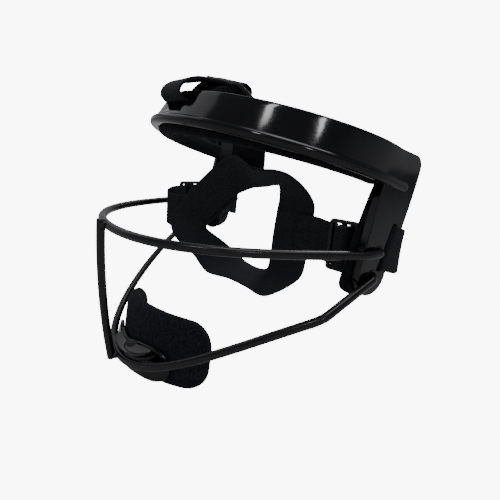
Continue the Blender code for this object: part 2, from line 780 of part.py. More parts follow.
# The ring's inner edge, once round from the end that is lapped over the other. Across and up are
# shares of half its width and height. Outward is the direction that the webbing lies in and tip
# how far it tips to the front, both in degrees. Reach is a share of the webbing's width, and layer
# counts thicknesses to the front.
RING_SECTIONS = (
    # across, up, outward, tip, reach, layer
    (-0.50, -0.09, 150, 0, 1.00, 1.0),
    (-0.37, 0.13, 138, 0, 1.00, 1.0),
    (-0.10, 0.56, 132, 0, 1.00, 1.0),
    (0.08, 0.74, 122, 8, 1.00, 1.0),
    (0.21, 0.84, 112, 34, 1.00, 0.8),
    (0.35, 0.89, 103, 58, 1.00, 0.5),
    (0.47, 0.95, 90, 66, 1.00, 0.2),
    (0.54, 0.97, 66, 64, 1.00, 0.0),
    (0.56, 0.91, 42, 52, 1.00, 0.0),
    (0.57, 0.79, 22, 34, 1.00, 0.0),
    (0.57, 0.64, 9, 13, 1.00, 0.0),
    (0.56, 0.47, 2, 0, 1.00, 0.0),
    (0.54, -0.13, 0, 0, 1.00, 0.0),
    (0.54, -0.53, -2, 0, 1.00, 0.0),
    (0.53, -0.79, -12, 14, 1.00, 0.0),
    (0.51, -0.93, -50, 54, 1.00, 0.0),
    (0.43, -0.98, -84, 77, 1.00, 0.0),
    (0.30, -0.96, -95, 80, 1.00, 0.0),
    (0.16, -0.88, -101, 76, 1.00, 0.0),
    (-0.05, -0.67, -110, 52, 1.00, 0.0),
    (-0.20, -0.54, -118, 22, 1.00, 0.0),
    (-0.43, -0.38, -124, 0, 1.00, 0.0),
    (-0.50, -0.33, -140, 0, 1.05, 0.0),
    (-0.53, -0.29, -162, 0, 1.24, 0.0),
    (-0.53, -0.24, 174, 0, 1.30, 0.0),
    (-0.49, -0.17, 152, 0, 1.06, 0.0),
    (-0.37, 0.02, 137, 0, 1.00, 0.0),
    (-0.16, 0.34, 134, 0, 1.00, 0.0),
    (-0.04, 0.52, 134, 0, 1.00, 0.0),
)


def build_ring(finish):
    """One strip of webbing, bent and folded into a ring that leaves room for a ponytail."""
    place = ring_place()
    turn = place.to_3x3()
    edges = []
    widths = []
    for across, up, outward, tip, reach, layer in RING_SECTIONS:
        edges.append(Vector((across * RING_WIDTH / 2, up * RING_HEIGHT / 2, layer * LAYER)))
        angle, out = math.radians(outward), math.radians(tip)
        flat = Vector((math.cos(angle), math.sin(angle), 0.0)) * math.cos(out)
        widths.append((flat + Vector((0.0, 0.0, math.sin(out)))) * (reach * WEB_WIDTH))
    path = []
    for edge, width in zip(smooth(edges, 2), smooth(widths, 2)):
        path.append((place @ (edge + width / 2), turn @ width))
    webbing("ring_strap", path, finish)


# Side straps: shares of the ring's half size where a strap's end is sewn on, and its slider

RING_ENDS = {
    # side: start across, end across, up, layer
    1: (0.86, 1.08, 0.03, 1.0),
    -1: (-0.82, -1.12, -0.03, -1.0),
}
# How a sewn end is rounded: share of its length, share of the full width
ROUNDED_END = ((0.0, 0.50), (0.04, 0.72), (0.16, 0.90), (0.36, 1.0))
# How far each curve between two runs keeps to the line of the runs
SIDE_PULLS = {1: (0.006, 0.003, 0.0005), -1: (0.013, 0.006, 0.010)}
INNER_FACE = HALF_WIDTH - LEG_THICKNESS
SLIDER_PLACES = {
    # side: middle, along the webbing from the ring to the leg, out of its face
    1: (
        (INNER_FACE - LEFT_SLIDER_INSIDE, -LEFT_SLIDER_AHEAD, LEFT_SLIDER_ABOVE),
        (1.0, 0.15, 0.05),
        (0.15, -1.0, 0.0),
    ),
    -1: (
        (RIGHT_SLIDER_INSIDE - INNER_FACE, -RIGHT_SLIDER_AHEAD, RIGHT_SLIDER_ABOVE),
        (-0.10, 1.0, 0.02),
        (-1.0, -0.10, 0.0),
    ),
}


def slider_place(middle, along, out):
    """A slider's frame from its middle and these two directions."""
    x = Vector(along).normalized()
    z = Vector(out)
    z = (z - x * z.dot(x)).normalized()
    y = z.cross(x)
    if y.z < -0.5:
        y = -y
    return Matrix.Translation(middle) @ Matrix((x, y, z)).transposed().to_4x4()


def round_rear_bar(side):
    """Out through a leg's slot, round its rear bar with some slack behind, and in again along the leg."""
    place = slot_place(side)
    turn = place.to_3x3()
    half = LEG_THICKNESS / 2
    front = SLOT_WIDTH / 2
    rear = front + REAR_BAR
    quarter = math.pi / 2
    loop = LEG_LOOPS[side]
    bends = [quarter * k / 4 for k in range(9)]
    outline = (
        [(-half - 0.8 * SLOT_WIDTH, -0.4 * SLOT_WIDTH), (-half, 0.1 * SLOT_WIDTH)]
        + arc((half, front), HUG, -quarter, 0.0, 3)
        + [((half + HUG) * math.cos(a), rear + loop * math.sin(a)) for a in bends]
        + [(-half - 1.5 * HUG, front + 0.45 * REAR_BAR), (-half - 3.4 * HUG, front + 0.05 * REAR_BAR)]
    )
    run = []
    for x, y in outline:
        slack = max(0.0, (y - rear) / max(LEG_LOOPS.values()))
        lean = (LEG_LOOP_LEAN - SLOT_LEAN) * slack
        width = turn @ Vector((0.0, math.sin(lean), math.cos(lean)))
        run.append((place @ Vector((x * side, y, 0.0)), width * WEB_WIDTH))
    return run


def build_side_strap(name, side, place, finish):
    """From the ring, through the slider, round the leg's rear bar and back to the slider."""
    ring = ring_place()
    start, end, up, layer = RING_ENDS[side]
    sewn = []
    for share, wide in ROUNDED_END + ((1.0, 1.0),):
        across = (start + (end - start) * share) * RING_WIDTH / 2
        point = ring @ Vector((across, up * RING_HEIGHT / 2, layer * LAYER))
        sewn.append((point, Vector((0.0, 0.0, wide * WEB_WIDTH))))
    runs = [sewn, threaded(place), round_rear_bar(side), sewn_round(place)]
    webbing(name, joined(runs, SIDE_PULLS[side]), finish)


# Top strap

BROW_LOOP = (
    # inward as a share of the loop's reach, up as a share of its rise
    (0.23, 1.00),
    (-0.34, 0.79),
    (-0.81, 0.50),
    (-1.00, 0.20),
    (-0.84, -0.02),
    (-0.41, -0.08),
    (0.00, -0.06),
    (0.38, 0.00),
    (0.73, 0.28),
    (0.97, 0.61),
)
BROW_TOP = band_point(0.0, BAND_REACH, BEAD_LEVEL)
TOP_SLIDER = (
    BROW_TOP + Vector((TOP_SLIDER_SIDEWAYS, TOP_SLIDER_BEHIND, TOP_SLIDER_ABOVE)),
    (0.222, -0.893, 0.393),
    (0.095, 0.421, 0.903),
)
TOP_END_ACROSS = 0.03
TOP_END_UP = (0.90, 1.45)
TOP_PULLS = (0.014, 0.004, 0.004)


def build_top_strap(place, finish):
    """Up from the ring, through the slider, over the brow, in through its slot and back to the slider."""
    ring = ring_place()
    across = ring.to_3x3() @ Vector((WEB_WIDTH, 0.0, 0.0))
    low, high = TOP_END_UP
    sewn = [
        (ring @ Vector((TOP_END_ACROSS * RING_WIDTH / 2, up * RING_HEIGHT / 2, -LAYER)), across)
        for up in (low, (low + high) / 2, high)
    ]
    slot = brow_slot_place()
    over = [
        (slot @ Vector((0.0, inward * BROW_LOOP_REACH, up * BROW_LOOP_RISE)), Vector((WEB_WIDTH, 0.0, 0.0)))
        for inward, up in BROW_LOOP
    ]
    webbing("strap_top", joined([sewn, threaded(place), over, sewn_round(place)], TOP_PULLS), finish)


for old in list(bpy.data.objects):
    bpy.data.objects.remove(old, do_unlink=True)

GLOSS = material("gloss plastic", (0.012, 0.012, 0.013), 0.12)
COATED = material("coated steel", (0.015, 0.015, 0.016), 0.28)
SATIN = material("slider plastic", (0.013, 0.013, 0.014), 0.35)
FOAM = material("foam", (0.016, 0.016, 0.018), 0.9)
FELT = material("felt", (0.022, 0.022, 0.024), 0.95)
WEBBING = material("webbing", (0.014, 0.014, 0.015), 0.85)

build_frame(GLOSS)
build_cage(COATED)
build_brow_pad(FOAM)
for SIDE, WORD in ((1, "left"), (-1, "right")):
    build_leg_pad(f"leg_pad_{WORD}", SIDE, FOAM)
build_chin_cup(GLOSS)
build_chin_pad(FELT)
build_ring(WEBBING)
for SIDE, WORD in ((1, "left"), (-1, "right")):
    PLACE = slider_place(*SLIDER_PLACES[SIDE])
    build_slider(f"slider_{WORD}", PLACE, SATIN)
    build_side_strap(f"strap_{WORD}", SIDE, PLACE, WEBBING)
PLACE = slider_place(*TOP_SLIDER)
build_slider("slider_top", PLACE, SATIN)
build_top_strap(PLACE, WEBBING)
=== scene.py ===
"""Looks of a softball fielder's mask: a glossy black moulding, a vinyl-dipped wire cage, felt and knit
faced foam pads, a moulded chin cup and a black elastic harness.

Metres, +Z up. The wearer looks along -Y and has the left side at +X. The pieces are worked out in the
mask's own measures, with the upper wire's plane at height 0 and the legs at depth 0, and then moved
so that the origin is where the brow pad meets the forehead, as in the frame.
"""

import math

import bmesh
import bpy
from mathutils import Matrix, Vector, noise


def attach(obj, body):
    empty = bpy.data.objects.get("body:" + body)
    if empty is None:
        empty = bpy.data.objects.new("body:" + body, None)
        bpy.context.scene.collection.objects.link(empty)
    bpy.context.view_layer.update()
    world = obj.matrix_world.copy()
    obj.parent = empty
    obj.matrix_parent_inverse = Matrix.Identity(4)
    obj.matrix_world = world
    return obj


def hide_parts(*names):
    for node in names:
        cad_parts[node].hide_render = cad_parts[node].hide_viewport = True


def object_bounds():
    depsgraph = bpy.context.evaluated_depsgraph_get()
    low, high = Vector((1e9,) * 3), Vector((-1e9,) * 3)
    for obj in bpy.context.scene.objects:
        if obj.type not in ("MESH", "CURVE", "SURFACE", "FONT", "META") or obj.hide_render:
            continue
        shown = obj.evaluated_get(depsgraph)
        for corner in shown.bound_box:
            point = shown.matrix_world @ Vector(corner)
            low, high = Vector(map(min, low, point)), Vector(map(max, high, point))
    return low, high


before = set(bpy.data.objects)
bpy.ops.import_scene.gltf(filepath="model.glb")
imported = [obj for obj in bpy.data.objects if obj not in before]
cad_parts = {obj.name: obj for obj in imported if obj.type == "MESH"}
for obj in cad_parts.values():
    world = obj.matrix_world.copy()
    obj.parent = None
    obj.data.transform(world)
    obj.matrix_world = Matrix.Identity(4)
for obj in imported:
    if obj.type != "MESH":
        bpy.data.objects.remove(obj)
cad_box = [list(corner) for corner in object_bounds()]


# Camera, floor and light
# A table-top product shot: a pale sweep, soft light from all round, and tall window-like softboxes whose
# reflections run across the gloss of the band. The camera is low, on the wearer's left and in front.

SENSOR_WIDTH = 36.0
LENS_PER_FRAME_WIDTH = 0.722
CAMERA_PLACE = (0.19902, -0.08860, -0.00824)
CAMERA_TURN = (74.131, -5.638, 55.600)
FLOOR_SIZE = 6.0
FLOOR_DROP = 0.0015
PAPER_GREY = (0.58, 0.58, 0.58)
WHITE_SEEN = 9.0
PAPER_SEEN = 0.96 * WHITE_SEEN
DIM_HORIZON = (0.48, 0.48, 0.495)
DIM_OVERHEAD = (0.16, 0.16, 0.18)
HORIZON_ENDS, OVERHEAD_STARTS = 0.05, 0.40


def placed(name, data):
    """A new object in the scene."""
    made = bpy.data.objects.new(name, data)
    bpy.context.scene.collection.objects.link(made)
    return made


def finish_of(name, colour, roughness, **sockets):
    """A named finish and its nodes, with each constant set on the shader's own socket."""
    made = bpy.data.materials.new(name)
    made.use_nodes = True
    shader = made.node_tree.nodes["Principled BSDF"]
    shader.inputs["Base Color"].default_value = (*colour, 1.0)
    shader.inputs["Roughness"].default_value = roughness
    for words, value in sockets.items():
        shader.inputs[words.replace("_", " ")].default_value = value
    made.diffuse_color = (*colour, 1.0)
    return made


def node_tools(tree):
    """Short ways to add a node to this tree, to link two sockets, and to add a math node over sockets
    or numbers."""

    def add(kind, **values):
        node = tree.nodes.new(kind)
        for words, value in values.items():
            node.inputs[words.replace("_", " ")].default_value = value
        return node

    def worked(operation, *values):
        node = add("ShaderNodeMath")
        node.operation = operation
        for socket, value in zip(node.inputs, values):
            if isinstance(value, (int, float)):
                socket.default_value = value
            else:
                tree.links.new(value, socket)
        return node.outputs["Value"]

    return add, tree.links.new, worked


def ramp(add, first, low, last, high):
    """A colour ramp from the low colour at its first position to the high colour at its last."""
    made = add("ShaderNodeValToRGB")
    for stop, position, colour in zip(made.color_ramp.elements, (first, last), (low, high)):
        stop.position = position
        stop.color = (*colour, 1.0)
    return made


def seen_by_camera(add):
    """Yes for what the camera sees itself, and no for what a piece reflects or is lit by. The white ground is
    bright only to the camera, and the glossy black pieces stand in a dimmer room."""
    return add("ShaderNodeLightPath").outputs["Is Camera Ray"]


camera = placed("camera", bpy.data.cameras.new("camera"))
camera.data.sensor_width = SENSOR_WIDTH
camera.data.lens = LENS_PER_FRAME_WIDTH * SENSOR_WIDTH
camera.data.clip_start = 0.01
camera.location = CAMERA_PLACE
camera.rotation_euler = [math.radians(angle) for angle in CAMERA_TURN]
bpy.context.scene.camera = camera

floor = placed("floor", bpy.data.meshes.new("floor"))
floor_corners = [(x * FLOOR_SIZE, y * FLOOR_SIZE, 0.0) for x, y in ((-1, -1), (1, -1), (1, 1), (-1, 1))]
floor.data.from_pydata(floor_corners, [], [(0, 1, 2, 3)])
floor.location.z = cad_box[0][2] - FLOOR_DROP
paper = finish_of("white paper", PAPER_GREY, 0.9, Emission_Color=(1.0, 1.0, 1.0, 1.0))
add, link, worked = node_tools(paper.node_tree)
paper_glow = worked("MULTIPLY", seen_by_camera(add), PAPER_SEEN)
link(paper_glow, paper.node_tree.nodes["Principled BSDF"].inputs["Emission Strength"])
floor.data.materials.append(paper)

world = bpy.data.worlds.new("studio")
bpy.context.scene.world = world
world.use_nodes = True
room = world.node_tree
add, link, _ = node_tools(room)
room_height = add("ShaderNodeSeparateXYZ")
link(add("ShaderNodeTexCoord").outputs["Generated"], room_height.inputs["Vector"])
room_ramp = ramp(add, HORIZON_ENDS, DIM_HORIZON, OVERHEAD_STARTS, DIM_OVERHEAD)
link(room_height.outputs["Z"], room_ramp.inputs["Fac"])
link(room_ramp.outputs["Color"], room.nodes["Background"].inputs["Color"])
backdrop = add("ShaderNodeBackground", Color=(1.0, 1.0, 1.0, 1.0), Strength=WHITE_SEEN)
room_or_backdrop = add("ShaderNodeMixShader")
link(seen_by_camera(add), room_or_backdrop.inputs["Fac"])
link(room.nodes["Background"].outputs["Background"], room_or_backdrop.inputs[1])
link(backdrop.outputs["Background"], room_or_backdrop.inputs[2])
link(room_or_backdrop.outputs["Shader"], room.nodes["World Output"].inputs["Surface"])

SOFTBOX_DISTANCE = 1.5
SOFTBOXES = (
    # Name, azimuth and elevation from the mask, width and height as seen from it (degrees), brightness
    ("first window", -56.8, 53.0, 4.2, 10.0, 17.0),
    ("second window", -15.0, 34.5, 2.5, 8.5, 24.0),
    ("left softbox", -157.0, 40.0, 42.0, 34.0, 0.6),
    ("far softbox", 160.0, 33.0, 30.0, 30.0, 0.6),
    ("overhead softbox", 75.0, 76.0, 34.0, 34.0, 3.0),
    ("rear window", 115.0, 38.0, 12.0, 40.0, 5.0),
)
for softbox, azimuth, elevation, wide, high, brightness in SOFTBOXES:
    turn, rise = math.radians(azimuth), math.radians(elevation)
    away = Vector((math.cos(turn) * math.cos(rise), math.sin(turn) * math.cos(rise), math.sin(rise)))
    lamp = bpy.data.lights.new(softbox, "AREA")
    lamp.shape = "RECTANGLE"
    lamp.size = 2 * SOFTBOX_DISTANCE * math.tan(math.radians(wide / 2))
    lamp.size_y = 2 * SOFTBOX_DISTANCE * math.tan(math.radians(high / 2))
    lamp.energy = brightness * math.pi * lamp.size * lamp.size_y
    holder = placed(softbox, lamp)
    holder.location = away * SOFTBOX_DISTANCE
    holder.rotation_euler = away.to_track_quat("Z", "Y").to_euler()


# Frame
# One injection moulding in high-gloss black nylon: a tall band round the brow with a half-round bead along
# its lower edge, which ends in a nub on each side, and two flat legs with rounded feet. The strap slots and
# the wire holes are cored in the mould, and a small lip rings the seat of each wire's end.

HALF_WIDTH = 0.0875
BAND_TILT = math.radians(13.2)
BAND_REACH = 0.0928
BAND_STRAIGHT = 0.0090
BAND_END = -0.0070
BAND_SIDE_HANDLE = 0.43
BAND_FRONT_HANDLE = 0.55
BEAD_LEVEL = 0.0403
BEAD_RADIUS = 0.00265
PANEL_HEIGHT = 0.0147
PANEL_LEAN_FRONT = 0.0062
PANEL_LEAN_SIDE = 0.0
BAND_WALL = 0.0030
BAND_PROUD = 0.0002
BAND_SINK = 0.0003
BAND_SINK_FROM = 0.0080
BAND_SINK_OVER = 0.0150
BAND_FOOT_EDGE = 0.0004
BAND_STEPS = 56
PANEL_EDGE = 0.0009
PAD_GAP = 0.0003
BROW_PAD_THICKNESS = 0.0077
LEG_THICKNESS = 0.0050
LEG_TOP_FRONT = 0.0019
LEG_TOP_REAR = 0.0296
LEG_TOP_HEIGHT = 0.0440
LEG_CORNER = 0.0070
LEG_BOW = 0.0015
LEG_EASE = 0.0009
LEG_TOP_STEP = 0.0010
LEG_UNDER_PANEL_EDGE = 0.0005
FOOT_DEPTH = 0.0049
FOOT_DROP = 0.0135
FOOT_RADIUS = 0.0116
SLOT_LENGTH = 0.0273
SLOT_WIDTH = 0.0046
SLOT_DEPTH = 0.0128
SLOT_HEIGHT = 0.0020
SLOT_LEAN = math.radians(16.0)
BROW_SLOT_DROP = 0.0057
BROW_SLOT_HEIGHT = 0.0052
SLOT_CORNER = 0.0012
WIRE_DIAMETER = 0.00475
HOLE_DIAMETER = 0.00575
UPPER_HOLE_DEPTH = 0.0058
LOWER_HOLE_DEPTH = 0.0041
LOWER_HOLE_DROP = 0.0136
JAW_BEND_DEPTH = -0.0323
JAW_BEND_DROP = 0.0310
SEAT_LIP = 0.0009
SEAT_PROUD = 0.0001
UPPER_SEAT_REACH = 0.0016
LOWER_SEAT_REACH = 0.0045
ROD_EASE = 0.12
ROD_END = 0.80


def band_point(x, forward, level):
    """A point given in the tipped plane of the band."""
    return Vector((
        x,
        -forward * math.cos(BAND_TILT) + level * math.sin(BAND_TILT),
        forward * math.sin(BAND_TILT) + level * math.cos(BAND_TILT),
    ))


FOREHEAD = band_point(0.0, BAND_REACH - BAND_WALL - PAD_GAP - BROW_PAD_THICKNESS, BEAD_LEVEL - BEAD_RADIUS)


def bezier(a, b, c, d, steps):
    """Points along a cubic from a to d, with handles b and c."""
    points = []
    for i in range(steps + 1):
        t = i / steps
        u = 1 - t
        points.append(a * u**3 + b * (3 * u * u * t) + c * (3 * u * t * t) + d * t**3)
    return points


def directions(points, closed=False):
    """The unit direction of travel at each point."""
    count = len(points)
    found = []
    for i in range(count):
        before = points[(i - 1) % count] if closed else points[max(i - 1, 0)]
        after = points[(i + 1) % count] if closed else points[min(i + 1, count - 1)]
        found.append((after - before).normalized())
    return found


def arc(centre, radius, start, end, steps):
    """Points on a circle in the plane, as (first, second) pairs."""
    angles = [start + (end - start) * i / steps for i in range(steps + 1)]
    return [(centre[0] + radius * math.cos(a), centre[1] + radius * math.sin(a)) for a in angles]


def lofted(rings):
    """A closed body through rings of as many points each, capped at its ends."""
    bm = bmesh.new()
    rows = [[bm.verts.new(p) for p in ring] for ring in rings]
    sides = len(rows[0])
    for one, two in zip(rows, rows[1:]):
        for j in range(sides):
            k = (j + 1) % sides
            bm.faces.new((one[j], one[k], two[k], two[j]))
    bm.faces.new(list(reversed(rows[0])))
    bm.faces.new(rows[-1])
    return bm


def rod(points, diameter, sides):
    """A round rod along the points, with eased ends."""
    ways = directions(points)
    across = ways[0].orthogonal().normalized()
    ease = ROD_EASE * diameter
    stops = [(points[0], ways[0], ROD_END), (points[0] + ways[0] * ease, ways[0], 1.0)]
    stops += [(p, w, 1.0) for p, w in zip(points[1:-1], ways[1:-1])]
    stops += [(points[-1] - ways[-1] * ease, ways[-1], 1.0), (points[-1], ways[-1], ROD_END)]
    angles = [2 * math.pi * k / sides for k in range(sides)]
    rings = []
    for point, way, share in stops:
        across = (across - way * across.dot(way)).normalized()
        up = way.cross(across)
        radius = share * diameter / 2
        rings.append([point + (across * math.cos(a) + up * math.sin(a)) * radius for a in angles])
    return lofted(rings)


def in_one_finish(name, bm, finish):
    """An object with the mesh of bm, all in one finish."""
    mesh = bpy.data.meshes.new(name)
    bm.to_mesh(mesh)
    bm.free()
    mesh.materials.append(finish)
    return placed(name, mesh)


def shown(name, bm, finish, crease=40.0):
    """A smooth-shaded object with the mesh of bm, moved into the frame's place."""
    bmesh.ops.recalc_face_normals(bm, faces=bm.faces)
    bmesh.ops.translate(bm, verts=bm.verts, vec=-FOREHEAD)
    made = in_one_finish(name, bm, finish)
    made.data.shade_smooth()
    made.data.set_sharp_from_angle(angle=math.radians(crease))
    return made


def settle(target):
    """Makes what the modifiers give the piece's own mesh."""
    graph = bpy.context.evaluated_depsgraph_get()
    mesh = bpy.data.meshes.new_from_object(target.evaluated_get(graph))
    target.modifiers.clear()
    target.data = mesh


def cut_away(target, tool):
    """Cuts the tool's shape out of the target, and removes the tool."""
    change = target.modifiers.new("cut", "BOOLEAN")
    change.operation = "DIFFERENCE"
    change.solver = "EXACT"
    change.object = tool
    settle(target)
    bpy.data.objects.remove(tool)


def merged(name, parts, finish):
    """One piece made of several bodies that overlap as the moulding's do."""
    bm = bmesh.new()
    for part in parts:
        bm.from_mesh(part.data)
        bpy.data.objects.remove(part)
    return in_one_finish(name, bm, finish)


def grained(finish, low, high, cloud_scale, cloud_detail, roughness, grain_scale, grain_depth):
    """Cloudy colour and roughness from one noise, and a fine bump from another, in the mask's own space."""
    add, link, _ = node_tools(finish.node_tree)
    shader = finish.node_tree.nodes["Principled BSDF"]
    place = add("ShaderNodeTexCoord")
    clouds = add("ShaderNodeTexNoise", Scale=cloud_scale, Detail=cloud_detail, Roughness=0.6)
    link(place.outputs["Object"], clouds.inputs["Vector"])
    tones = ramp(add, 0.35, low, 0.68, high)
    link(clouds.outputs["Fac"], tones.inputs["Fac"])
    link(tones.outputs["Color"], shader.inputs["Base Color"])
    rough = add("ShaderNodeMapRange", From_Min=0.3, From_Max=0.7, To_Min=roughness[0], To_Max=roughness[1])
    link(clouds.outputs["Fac"], rough.inputs["Value"])
    link(rough.outputs["Result"], shader.inputs["Roughness"])
    skin = add("ShaderNodeTexNoise", Scale=grain_scale, Detail=3.0, Roughness=0.55)
    link(place.outputs["Object"], skin.inputs["Vector"])
    bump = add("ShaderNodeBump", Strength=1.0, Distance=grain_depth)
    link(skin.outputs["Fac"], bump.inputs["Height"])
    link(bump.outputs["Normal"], shader.inputs["Normal"])
    return finish


gloss = grained(
    finish_of("moulded gloss nylon", (0.004, 0.004, 0.005), 0.10, Specular_IOR_Level=0.45),
    low=(0.0030, 0.0032, 0.0042), high=(0.0050, 0.0052, 0.0064), cloud_scale=55.0, cloud_detail=4.0,
    roughness=(0.06, 0.13), grain_scale=420.0, grain_depth=0.000006,
)

band_side = HALF_WIDTH + BAND_PROUD
band_line = [Vector((band_side, BAND_END + (BAND_STRAIGHT - BAND_END) * i / 8, 0.0)) for i in range(8)]
band_line += bezier(
    Vector((band_side, BAND_STRAIGHT, 0.0)),
    Vector((band_side, BAND_STRAIGHT + BAND_SIDE_HANDLE * (BAND_REACH - BAND_STRAIGHT), 0.0)),
    Vector((BAND_FRONT_HANDLE * HALF_WIDTH, BAND_REACH, 0.0)),
    Vector((0.0, BAND_REACH, 0.0)),
    BAND_STEPS,
)
band_line += [Vector((-p.x, p.y, 0.0)) for p in reversed(band_line[:-1])]
band_stations = []
for point, way in zip(band_line, directions(band_line)):
    out = Vector((-way.y, way.x, 0.0))
    if out.dot(point - Vector((0.0, BAND_STRAIGHT, 0.0))) < 0:
        out = -out
    band_lean = PANEL_LEAN_SIDE + (PANEL_LEAN_FRONT - PANEL_LEAN_SIDE) * out.y**2
    # The panel sinks into the leg's face, so that the two are flush
    sunk = BAND_SINK * max(0.0, min(1.0, (BAND_SINK_FROM - point.y) / BAND_SINK_OVER))
    band_stations.append((point, out, band_lean, sunk))


def along_band(stations, section):
    """A body along the band, from a section of (outward, level) points that may depend on lean and sink."""
    rings = []
    for point, out, lean, sunk in stations:
        ring = section(lean, sunk)
        rings.append([band_point(point.x + out.x * o, point.y + out.y * o, level) for o, level in ring])
    return lofted(rings)


def panel_inset(lean, level):
    """How far the panel has leant in at this level."""
    return lean * max(0.0, (level - BEAD_LEVEL) / PANEL_HEIGHT)


def band_section(lean, sunk):
    """A half-round bead with a panel that leans in above it, and rounded top edges."""
    top = BEAD_LEVEL + PANEL_HEIGHT
    bottom = BEAD_LEVEL - 2 * BEAD_RADIUS
    shoulder = top - 3 * PANEL_EDGE
    inner = -lean - BAND_WALL - sunk
    return (
        arc((0.0, BEAD_LEVEL - BEAD_RADIUS), BEAD_RADIUS, -math.pi / 2, math.pi / 2, 14)
        + [(-sunk, BEAD_LEVEL), (-panel_inset(lean, shoulder) - sunk, shoulder)]
        + arc((-lean - sunk - PANEL_EDGE, top - PANEL_EDGE), PANEL_EDGE, 0.0, math.pi / 2, 4)
        + arc((inner + PANEL_EDGE, top - PANEL_EDGE), PANEL_EDGE, math.pi / 2, math.pi, 4)
        + [(-BAND_WALL, BEAD_LEVEL), (-BAND_WALL, bottom + BAND_FOOT_EDGE)]
        + [(-BAND_WALL + BAND_FOOT_EDGE, bottom)]
    )


def leg_edge(height, rear):
    """How far back the leg's front or rear edge is at this height."""
    top, side, bow = (LEG_TOP_REAR, 1, LEG_BOW) if rear else (LEG_TOP_FRONT, -1, -LEG_BOW)
    low = FOOT_DEPTH + side * FOOT_RADIUS
    share = (height + FOOT_DROP) / (LEG_TOP_HEIGHT + FOOT_DROP)
    return low + (top - low) * share + bow * 4 * share * (1 - share)


def leg_outline():
    """The leg from the side, as (depth, height): rounded foot, bowed edges and a rounded top corner."""
    steps = 14
    heights = [-FOOT_DROP + (LEG_TOP_HEIGHT + FOOT_DROP) * i / steps for i in range(1, steps + 1)]
    foot = arc((FOOT_DEPTH, -FOOT_DROP), FOOT_RADIUS, math.pi, 2 * math.pi, 36)
    rear = [(leg_edge(h, True), h) for h in heights]
    corner = arc((LEG_TOP_REAR - LEG_CORNER, LEG_TOP_HEIGHT + LEG_TOP_STEP), LEG_CORNER, 0.0, math.pi / 2, 12)
    tip = band_point(0.0, 0.0, BEAD_LEVEL + PANEL_HEIGHT - LEG_UNDER_PANEL_EDGE)
    front_top = LEG_TOP_FRONT + LEG_TOP_STEP
    front = [(front_top, tip.z - (front_top - tip.y) * math.tan(BAND_TILT))]
    front += [(leg_edge(h, False), h) for h in reversed(heights)]
    return foot + rear + corner[1:] + front


def leg_plate(side):
    """One leg as a flat plate with rounded edges."""
    outline = [Vector((0.0, d, h)) for d, h in leg_outline()]
    middle = sum(outline, Vector()) / len(outline)
    outs = []
    for point, way in zip(outline, directions(outline, True)):
        out = Vector((0.0, way.z, -way.y))
        outs.append(-out if out.dot(point - middle) < 0 else out)
    rounding = arc((LEG_EASE, LEG_EASE), LEG_EASE, math.pi, 1.5 * math.pi, 4)
    rings = []
    for sunk, inset in rounding + [(LEG_THICKNESS - s, i) for s, i in reversed(rounding)]:
        x = (HALF_WIDTH - sunk) * side
        rings.append([p - out * inset + Vector((x, 0.0, 0.0)) for p, out in zip(outline, outs)])
    return lofted(rings)


def rounded_bar(size, corner, place, ease_steps=4):
    """A bar through local X whose section, in local Y and Z, has round corners."""
    outline = []
    for quarter, (sy, sz) in enumerate(((1, 1), (-1, 1), (-1, -1), (1, -1))):
        start = quarter * math.pi / 2
        centre = ((size[1] / 2 - corner) * sy, (size[2] / 2 - corner) * sz)
        outline += arc(centre, corner, start, start + math.pi / 2, ease_steps)
    return lofted([[place @ Vector((x, y, z)) for y, z in outline] for x in (-size[0] / 2, size[0] / 2)])


def slot_place(side):
    """Middle of a leg's slot, turned so that its local Z runs along the slot."""
    middle = Vector(((HALF_WIDTH - LEG_THICKNESS / 2) * side, SLOT_DEPTH, SLOT_HEIGHT))
    return Matrix.Translation(middle) @ Matrix.Rotation(-SLOT_LEAN, 4, "X")


def brow_slot_place():
    """Middle of the slot at the top of the forehead, in the leaning panel."""
    level = BEAD_LEVEL + PANEL_HEIGHT - BROW_SLOT_DROP
    forward = BAND_REACH - panel_inset(PANEL_LEAN_FRONT, level) - BAND_WALL / 2
    lean = math.atan2(PANEL_LEAN_FRONT, PANEL_HEIGHT)
    return Matrix.Translation(band_point(0.0, forward, level)) @ Matrix.Rotation(-BAND_TILT - lean, 4, "X")


def wire_seat(side, depth, drop, way, reach):
    """The low lip moulded round a wire's hole, open towards the way that the wire leaves."""
    up = Vector((0.0, way.z, -way.y)) * (1 if way.y < 0 else -1)
    centre = Vector(((HALF_WIDTH + SEAT_PROUD) * side, depth, -drop))
    radius = HOLE_DIAMETER / 2 + SEAT_LIP / 2
    path = [centre + way * reach * (1 - k / 4) + up * radius for k in range(4)]
    path += [centre + up * rise - way * back for rise, back in arc((0.0, 0.0), radius, 0.0, math.pi, 14)]
    path += [centre + way * reach * 0.5 * k / 3 - up * radius for k in range(1, 4)]
    return rod(path, SEAT_LIP, 10)


